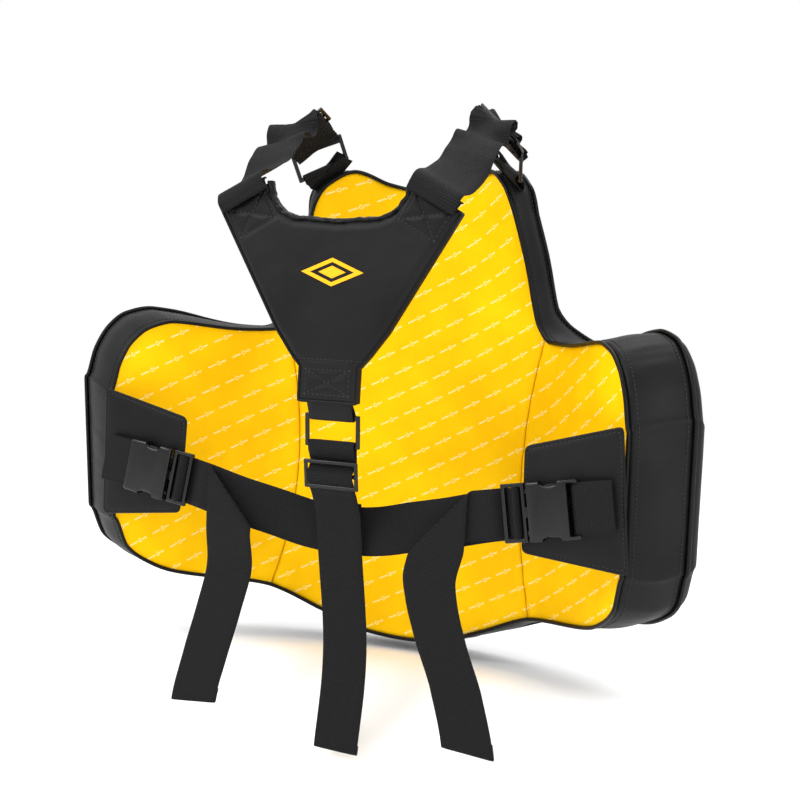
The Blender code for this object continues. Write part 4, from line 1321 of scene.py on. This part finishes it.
def on_route(route, z):
    """Sideways shift and y of a hanging route at height z, all in mm."""
    if z >= route[0][0]:
        return route[0][1], route[0][2]
    for (z0, x0, y0), (z1, x1, y1) in zip(route, route[1:]):
        if z >= z1:
            t = (z0 - z) / (z0 - z1)
            before = route[max(route.index((z0, x0, y0)) - 1, 0)]
            after = route[min(route.index((z1, x1, y1)) + 1, len(route) - 1)]
            mixed = []
            for p, a, b, n in ((before[1], x0, x1, after[1]), (before[2], y0, y1, after[2])):
                mixed.append(0.5 * (2 * a + (b - p) * t + (2 * p - 5 * a + 4 * b - n) * t * t
                                    + (3 * a - p - 3 * b + n) * t ** 3))
            return tuple(mixed)
    return route[-1][1], route[-1][2]


def build_tail(side, name, tip, route, length):
    """One loose end. tip is where the fold meets the tape's upper edge, in mm."""
    frame_here = buckle_frame(side)
    width = WEB - 1 * MM
    lead = smooth_path([Vector((x, y, 0)) * MM for x, y in TAIL_LEAD], 6)
    end = lead[-1]
    reach = length - (running_length(lead)[-1])
    count = round(reach / (2.5 * MM))
    flat = lead + [end - Vector((reach * k / count, 0, 0)) for k in range(1, count + 1)]
    slope = math.sin(BELT_SLOPE)
    dropped = Vector((-slope, -math.sqrt(1 - slope * slope)))
    line = (Vector((-1, 0)) + dropped).normalized()
    past = Vector((line.y, -line.x))
    if past.x > 0:
        past = -past
    corner = Vector((tip * MM, width / 2))
    columns = 13
    grid = []
    for point in flat:
        row = []
        for j in range(columns):
            a = width * (j / (columns - 1) - 0.5)
            q = Vector((point.x, a))
            far = (q - corner).dot(past)
            lift = point.y
            radius = FOLD_RADIUS * (0.75 + 0.8 * (0.5 - a / width))
            if far > 0 and far < math.pi * radius:
                q = q - past * (far - radius * math.sin(far / radius))
                lift -= radius * (1 - math.cos(far / radius))
            elif far > 0:
                q = q - past * (2 * far - math.pi * radius)
                lift -= 2 * radius
            here = frame_here @ Vector((q.x, lift, q.y))
            shift, y = on_route(route, here.z / MM)
            hanging = smoothstep((-0.05 - here.z) / 0.07) if far > 0 else 0.0
            here.x += side * shift * MM * (1 if far > 0 else 0)
            here.y += hanging * ((y + 210) * MM + 2 * radius * 0.8)
            row.append(here)
        grid.append(row)
    tail = ribbon(name + "_tail_webbing", hemmed(grid), width, 1.8 * MM)
    return place(tail, name + "_plug", "webbing_black", name + "_tail")


build_tail(1, "right", -52, RIGHT_HANG, 332 * MM)
build_tail(-1, "left", -45, LEFT_HANG, 320 * MM)
print("loose ends: 2")


# %% [markdown]
# ## Buckles, rings and tri-glides
# The socket is drawn as an outline with two finger notches, swept through its thickness
# with a rounded, slightly crowned face, and then hollowed with exact Booleans: a cavity
# for the tongue and arms, a window on each side and a slot for the webbing. The plugs,
# arms, rings and tri-glides already have their true shape, so each is copied, merged and
# given a fine rounded edge.

# %% Hardware
def box_cutter(low, high, matrix):
    """A box between two corners in mm, as a Boolean cutter."""
    bm = bmesh.new()
    bmesh.ops.create_cube(bm, size=1)
    for v in bm.verts:
        v.co = Vector([(a + (b - a) * (c + 0.5)) * MM for a, b, c in zip(low, high, v.co)])
    bm.transform(matrix)
    mesh = bpy.data.meshes.new("cutter")
    bm.to_mesh(mesh)
    bm.free()
    cutter = bpy.data.objects.new("cutter", mesh)
    bpy.context.scene.collection.objects.link(cutter)
    return cutter


def notch(x_from, x_to, z, depth, steps=12):
    """A round finger notch cut into an edge at height z, in mm."""
    middle, half = (x_from + x_to) / 2, (x_to - x_from) / 2
    turns = [math.pi * k / steps for k in range(steps + 1)]
    return [(middle - half * math.cos(a), z - math.copysign(depth, z) * math.sin(a) ** 0.8)
            for a in turns]


def build_socket(side, name):
    """Socket half of a side-release buckle."""
    frame_here = buckle_frame(side)
    upper = [(0.4, 27.5), (1.8, 29), *notch(13, 33, 29, 4.6), (50.2, 28.6), (52, 26.8)]
    outline = upper + [(x, -z) for x, z in reversed(upper)]
    middle = Vector((26, 0))
    rings = []
    for shrink, y in ((0.80, -7.5), (0.93, -7.2), (0.975, -6.6), (0.993, -5.9), (1, -5),
                      (1, 5), (0.993, 5.9), (0.975, 6.6), (0.93, 7.2), (0.80, 7.5)):
        ring = []
        for x, z in outline:
            p = middle + (Vector((x, z)) - middle) * shrink
            ring.append(frame_here @ (Vector((p.x, y, p.y)) * MM))
        rings.append(ring)
    bm = bmesh.new()
    made = skin(bm, rings)
    bm.faces.new(made[0])
    bm.faces.new(made[-1])
    body = finish_mesh(name + "_buckle_housing", bm, acetal, 35)
    cuts = [((-2, -4.5, -25), (37, 4.5, 25)), ((15.5, -4, -31), (32, 4, 31)),
            ((41, -9, -25.8), (47, 9, 25.8)), ((44, -10, -25.4), (54, -2.2, 25.4)),
            ((44, 2.2, -25.4), (54, 10, 25.4))]
    cutters = []
    for low, high in cuts:
        cutters.append(box_cutter(low, high, frame_here))
        cut = body.modifiers.new("cut", "BOOLEAN")
        cut.object = cutters[-1]
    applied(body)
    body.data.set_sharp_from_angle(angle=math.radians(35))
    for cutter in cutters:
        bpy.data.objects.remove(cutter)
    return place(body, "root", "acetal_black", name + "_buckle_socket")


def rounded_copy(node, width=0.28 * MM):
    """A working piece's own shape with merged faces and finely rounded edges."""
    bm = bmesh.new()
    bm.from_mesh(frame["nodes"][node].data)
    bmesh.ops.remove_doubles(bm, verts=bm.verts, dist=0.01 * MM)
    bmesh.ops.dissolve_limit(bm, angle_limit=math.radians(1.5), verts=bm.verts,
                             edges=bm.edges)
    edges = [e for e in bm.edges if len(e.link_faces) == 2
             and e.calc_face_angle(0) > math.radians(25)]
    bmesh.ops.bevel(bm, geom=edges, offset=width, segments=3, profile=0.5,
                    affect="EDGES", clamp_overlap=True)
    obj = finish_mesh(node + "_moulded", bm, acetal, 32)
    return place(obj, frame["nodes"][node]["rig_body"], "acetal_black", node)


for side, name in ((-1, "left"), (1, "right")):
    build_socket(side, name)
hardware = [n for n in frame["nodes"] if n.endswith(("_plug", "_arm", "_ring", "_glide"))]
for node in sorted(hardware):
    rounded_copy(node)
print("hardware pieces:", 2 + len(hardware))


# %% [markdown]
# ### Buckle stubs and flaps
# A short doubled tape ties each socket to the wing. Behind it a leather flap, padded
# with thin foam, keeps the buckle off the wearer. Its outline has rounded corners and
# its rings step in and up, so the edge turns over softly.

# %% Stubs and flaps
def build_stub(side, name):
    """Doubled tape from the wing round the socket's bar."""
    frame_here = buckle_frame(side)
    turns = [math.pi * k / 12 for k in range(13)]
    bend = [(49.5 - 4.6 * math.sin(a), 4.6 * math.cos(a)) for a in turns]
    front = [(84, -2.6), (76, -3.2), (66, -4.2), (57, -4.4)]
    route = [(84, 3.4), (68, 3.8), *bend, *reversed(front)]
    path = [frame_here @ Vector((x * MM, y * MM, 0)) for x, y in route]
    upright = frame_here.col[2].xyz
    return ribbon(name + "_buckle_stub_webbing", rows_along(path, upright, WEB), WEB,
                  1.8 * MM)


FLAP = [(196, -60), (302, -72), (291, 72), (192, 45)]       # corners in mm
FLAP_MIDDLE = Vector((243, -4))
FLAP_CORNER = 7                     # corner radius in mm


def rounded_outline(corners, radius, steps=6):
    """An outline in mm with each corner turned through an arc-like curve."""
    made = []
    for i, corner in enumerate(corners):
        here = Vector(corner)
        before = (Vector(corners[i - 1]) - here).normalized() * radius
        after = (Vector(corners[(i + 1) % len(corners)]) - here).normalized() * radius
        for k in range(steps + 1):
            t = k / steps
            made.append(here + before * (1 - t) ** 2 + after * t ** 2)
        far = Vector(corners[(i + 1) % len(corners)]) - here
        for k in range(1, 12):
            made.append(here + after + (far - 2 * after) * k / 12)
    return made


def flap_y(x, z):
    """Distance of the flap's back from the origin, in mm: it leans as the wing does."""
    left = 196 + (192 - 196) * (z + 60) / 105
    right = 297 + (285 - 297) * (z + 71) / 141
    share = (x - left) / (right - left)
    return -191.4 - 3.2 * share - WING_LEAN * z * share


def build_flap(side, name):
    """A thin padded flap with a turned edge."""
    outline = rounded_outline(FLAP, FLAP_CORNER)
    middle = FLAP_MIDDLE
    rings = []
    for shrink, depth in ((0.60, -0.2), (0.90, 0.0), (0.975, 0.3), (0.994, 0.8), (1.0, 1.5),
                          (0.994, 2.2), (0.975, 2.8), (0.95, 2.7), (0.935, 2.3), (0.92, 2.8),
                          (0.85, 3.3), (0.60, 3.6)):
        ring = []
        for p in outline:
            q = middle + (p - middle) * shrink
            ring.append(Vector((side * q.x, flap_y(q.x, q.y) - depth, q.y)) * MM)
        rings.append(ring)
    bm = bmesh.new()
    made = skin(bm, rings)
    for end in (made[0], made[-1]):
        bmesh.ops.triangle_fill(bm, use_beauty=True, edges=[
            bm.edges.get((a, b)) for a, b in zip(end, end[1:] + end[:1])])
    obj = finish_mesh(name + "_flap_padded", bm, shell_leather, 50)
    return place(obj, "root", "pu_black", name + "_flap")


for side, name in ((-1, "left"), (1, "right")):
    place(build_stub(side, name), "root", "webbing_black", name + "_buckle_stub")
    build_flap(side, name)
print("stubs and flaps: 2 each")


# %% [markdown]
# ## Stitches
# All seams share one Geometry Nodes tree: lines become curves, the curves are sampled
# at the stitch pitch, and a small long bead is set on each point, turned along the
# seam. A real stitch is 3 mm of 0.6 mm thread; here it is a little bigger so that it
# shows. The tree ends realised, and each body's stitches become one plain mesh.

# %% Stitches
def stitch_tree():
    """Lines in, stitches out."""
    tree = bpy.data.node_groups.new("stitches", "GeometryNodeTree")
    tree.interface.new_socket("Geometry", in_out="INPUT", socket_type="NodeSocketGeometry")
    for label, default in (("Pitch", 4.6 * MM), ("Stitch length", 3.4 * MM),
                           ("Thread width", 0.95 * MM)):
        made = tree.interface.new_socket(label, in_out="INPUT", socket_type="NodeSocketFloat")
        made.default_value = default
    tree.interface.new_socket("Thread", in_out="INPUT", socket_type="NodeSocketMaterial")
    tree.interface.new_socket("Geometry", in_out="OUTPUT", socket_type="NodeSocketGeometry")
    given = add_node(tree, "NodeGroupInput").outputs
    curve = add_node(tree, "GeometryNodeMeshToCurve", {"Mesh": given["Geometry"]})
    points = add_node(tree, "GeometryNodeResampleCurve", {"Curve": curve.outputs[0],
                      "Length": given["Pitch"]}, mode="LENGTH")
    bead = add_node(tree, "GeometryNodeMeshUVSphere", {"Segments": 6, "Rings": 4,
                    "Radius": 0.5})
    tangent = add_node(tree, "GeometryNodeInputTangent")
    turn = add_node(tree, "FunctionNodeAlignRotationToVector",
                    {"Vector": tangent.outputs[0]}, axis="Z")
    size = add_node(tree, "ShaderNodeCombineXYZ", {"X": given["Thread width"],
                    "Y": given["Thread width"], "Z": given["Stitch length"]})
    sewn = add_node(tree, "GeometryNodeInstanceOnPoints", {"Points": points.outputs[0],
                    "Instance": bead.outputs[0], "Rotation": turn.outputs[0],
                    "Scale": size.outputs[0]})
    real = add_node(tree, "GeometryNodeRealizeInstances", {0: sewn.outputs[0]})
    painted = add_node(tree, "GeometryNodeSetMaterial", {"Geometry": real.outputs[0],
                       "Material": given["Thread"]})
    add_node(tree, "NodeGroupOutput", {0: painted.outputs[0]})
    return tree


STITCHES = stitch_tree()


def sew(name, body, lines, thread=thread_black):
    """Sets stitches along lines of points and rides them on a body."""
    mesh = bpy.data.meshes.new(name)
    points, edges = [], []
    for line in lines:
        edges += [(len(points) + k, len(points) + k + 1) for k in range(len(line) - 1)]
        points += line
    mesh.from_pydata(points, edges, [])
    obj = bpy.data.objects.new(name, mesh)
    bpy.context.scene.collection.objects.link(obj)
    nodes = obj.modifiers.new("stitches", "NODES")
    nodes.node_group = STITCHES
    sockets = {s.name: s.identifier for s in STITCHES.interface.items_tree}
    nodes[sockets["Thread"]] = thread
    applied(obj)
    obj.data.materials.clear()
    obj.data.materials.append(thread)
    obj.data.shade_smooth()
    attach(obj, body)
    print(name, "stitch faces:", len(obj.data.polygons))
    return obj


def seam_on_cover(offset, low, high, side):
    """A stitch line on the cover beside a side seam."""
    line = []
    for k in range(61):
        z = low + (high - low) * k / 60
        s = side * (seam_girth(z) + offset)
        lift = cover_relief(s, z) + 0.15 * MM
        line.append(lining_point(s, z) + outward(s, z) * (depth_at(s, z) + lift))
    return line


root_lines = []
for side in (-1, 1):
    for offset in (-7 * MM, 7 * MM):
        root_lines.append(seam_on_cover(offset, -0.135, 0.14, side))
for z in (0.161, 0.175):
    root_lines.append([lining_point(s, z) + outward(s, z)
                       * (depth_at(s, z) + cover_relief(s, z) + 0.15 * MM)
                       for s in [0.128 * k / 40 for k in range(-40, 41)]])
root_lines.append([panel_point(c, h, GUSSET_SHARE * 0.88, -BULGE * 0.36 - 0.3 * MM, 0.88)
                   for c, h in LOOP + LOOP[:1]])
root_lines.append([panel_point(c, h, GUSSET_SHARE * 0.13, -BULGE * 0.39 - 0.3 * MM, 0.13)
                   for c, h in LOOP + LOOP[:1]])
for side in (-1, 1):
    border = [FLAP_MIDDLE + (p - FLAP_MIDDLE) * 0.935
              for p in rounded_outline(FLAP, FLAP_CORNER)]
    root_lines.append([Vector((side * p.x, flap_y(p.x, p.y) - 2.5, p.y)) * MM
                       for p in border + border[:1]])
sew("panel_stitches", "root", root_lines)


def pad_line(a, b):
    """A stitch line over the pad's face between two places in mm."""
    steps = 12
    line = []
    for k in range(steps + 1):
        x = a[0] + (b[0] - a[0]) * k / steps
        z = a[1] + (b[1] - a[1]) * k / steps
        line.append(Vector((x * MM, PAD_Y - pad_height(x, z) - 0.1 * MM, z * MM)))
    return line


sew("back_pad_stitches", "harness", [pad_line(a, b) for a, b in PAD_SEAMS])


# %% [markdown]
# ## Colour
# The standard view transform keeps the yellow and the white paper at full strength.

# %% View transform
bpy.context.scene.view_settings.view_transform = "Standard"
print("view transform:", bpy.context.scene.view_settings.view_transform)
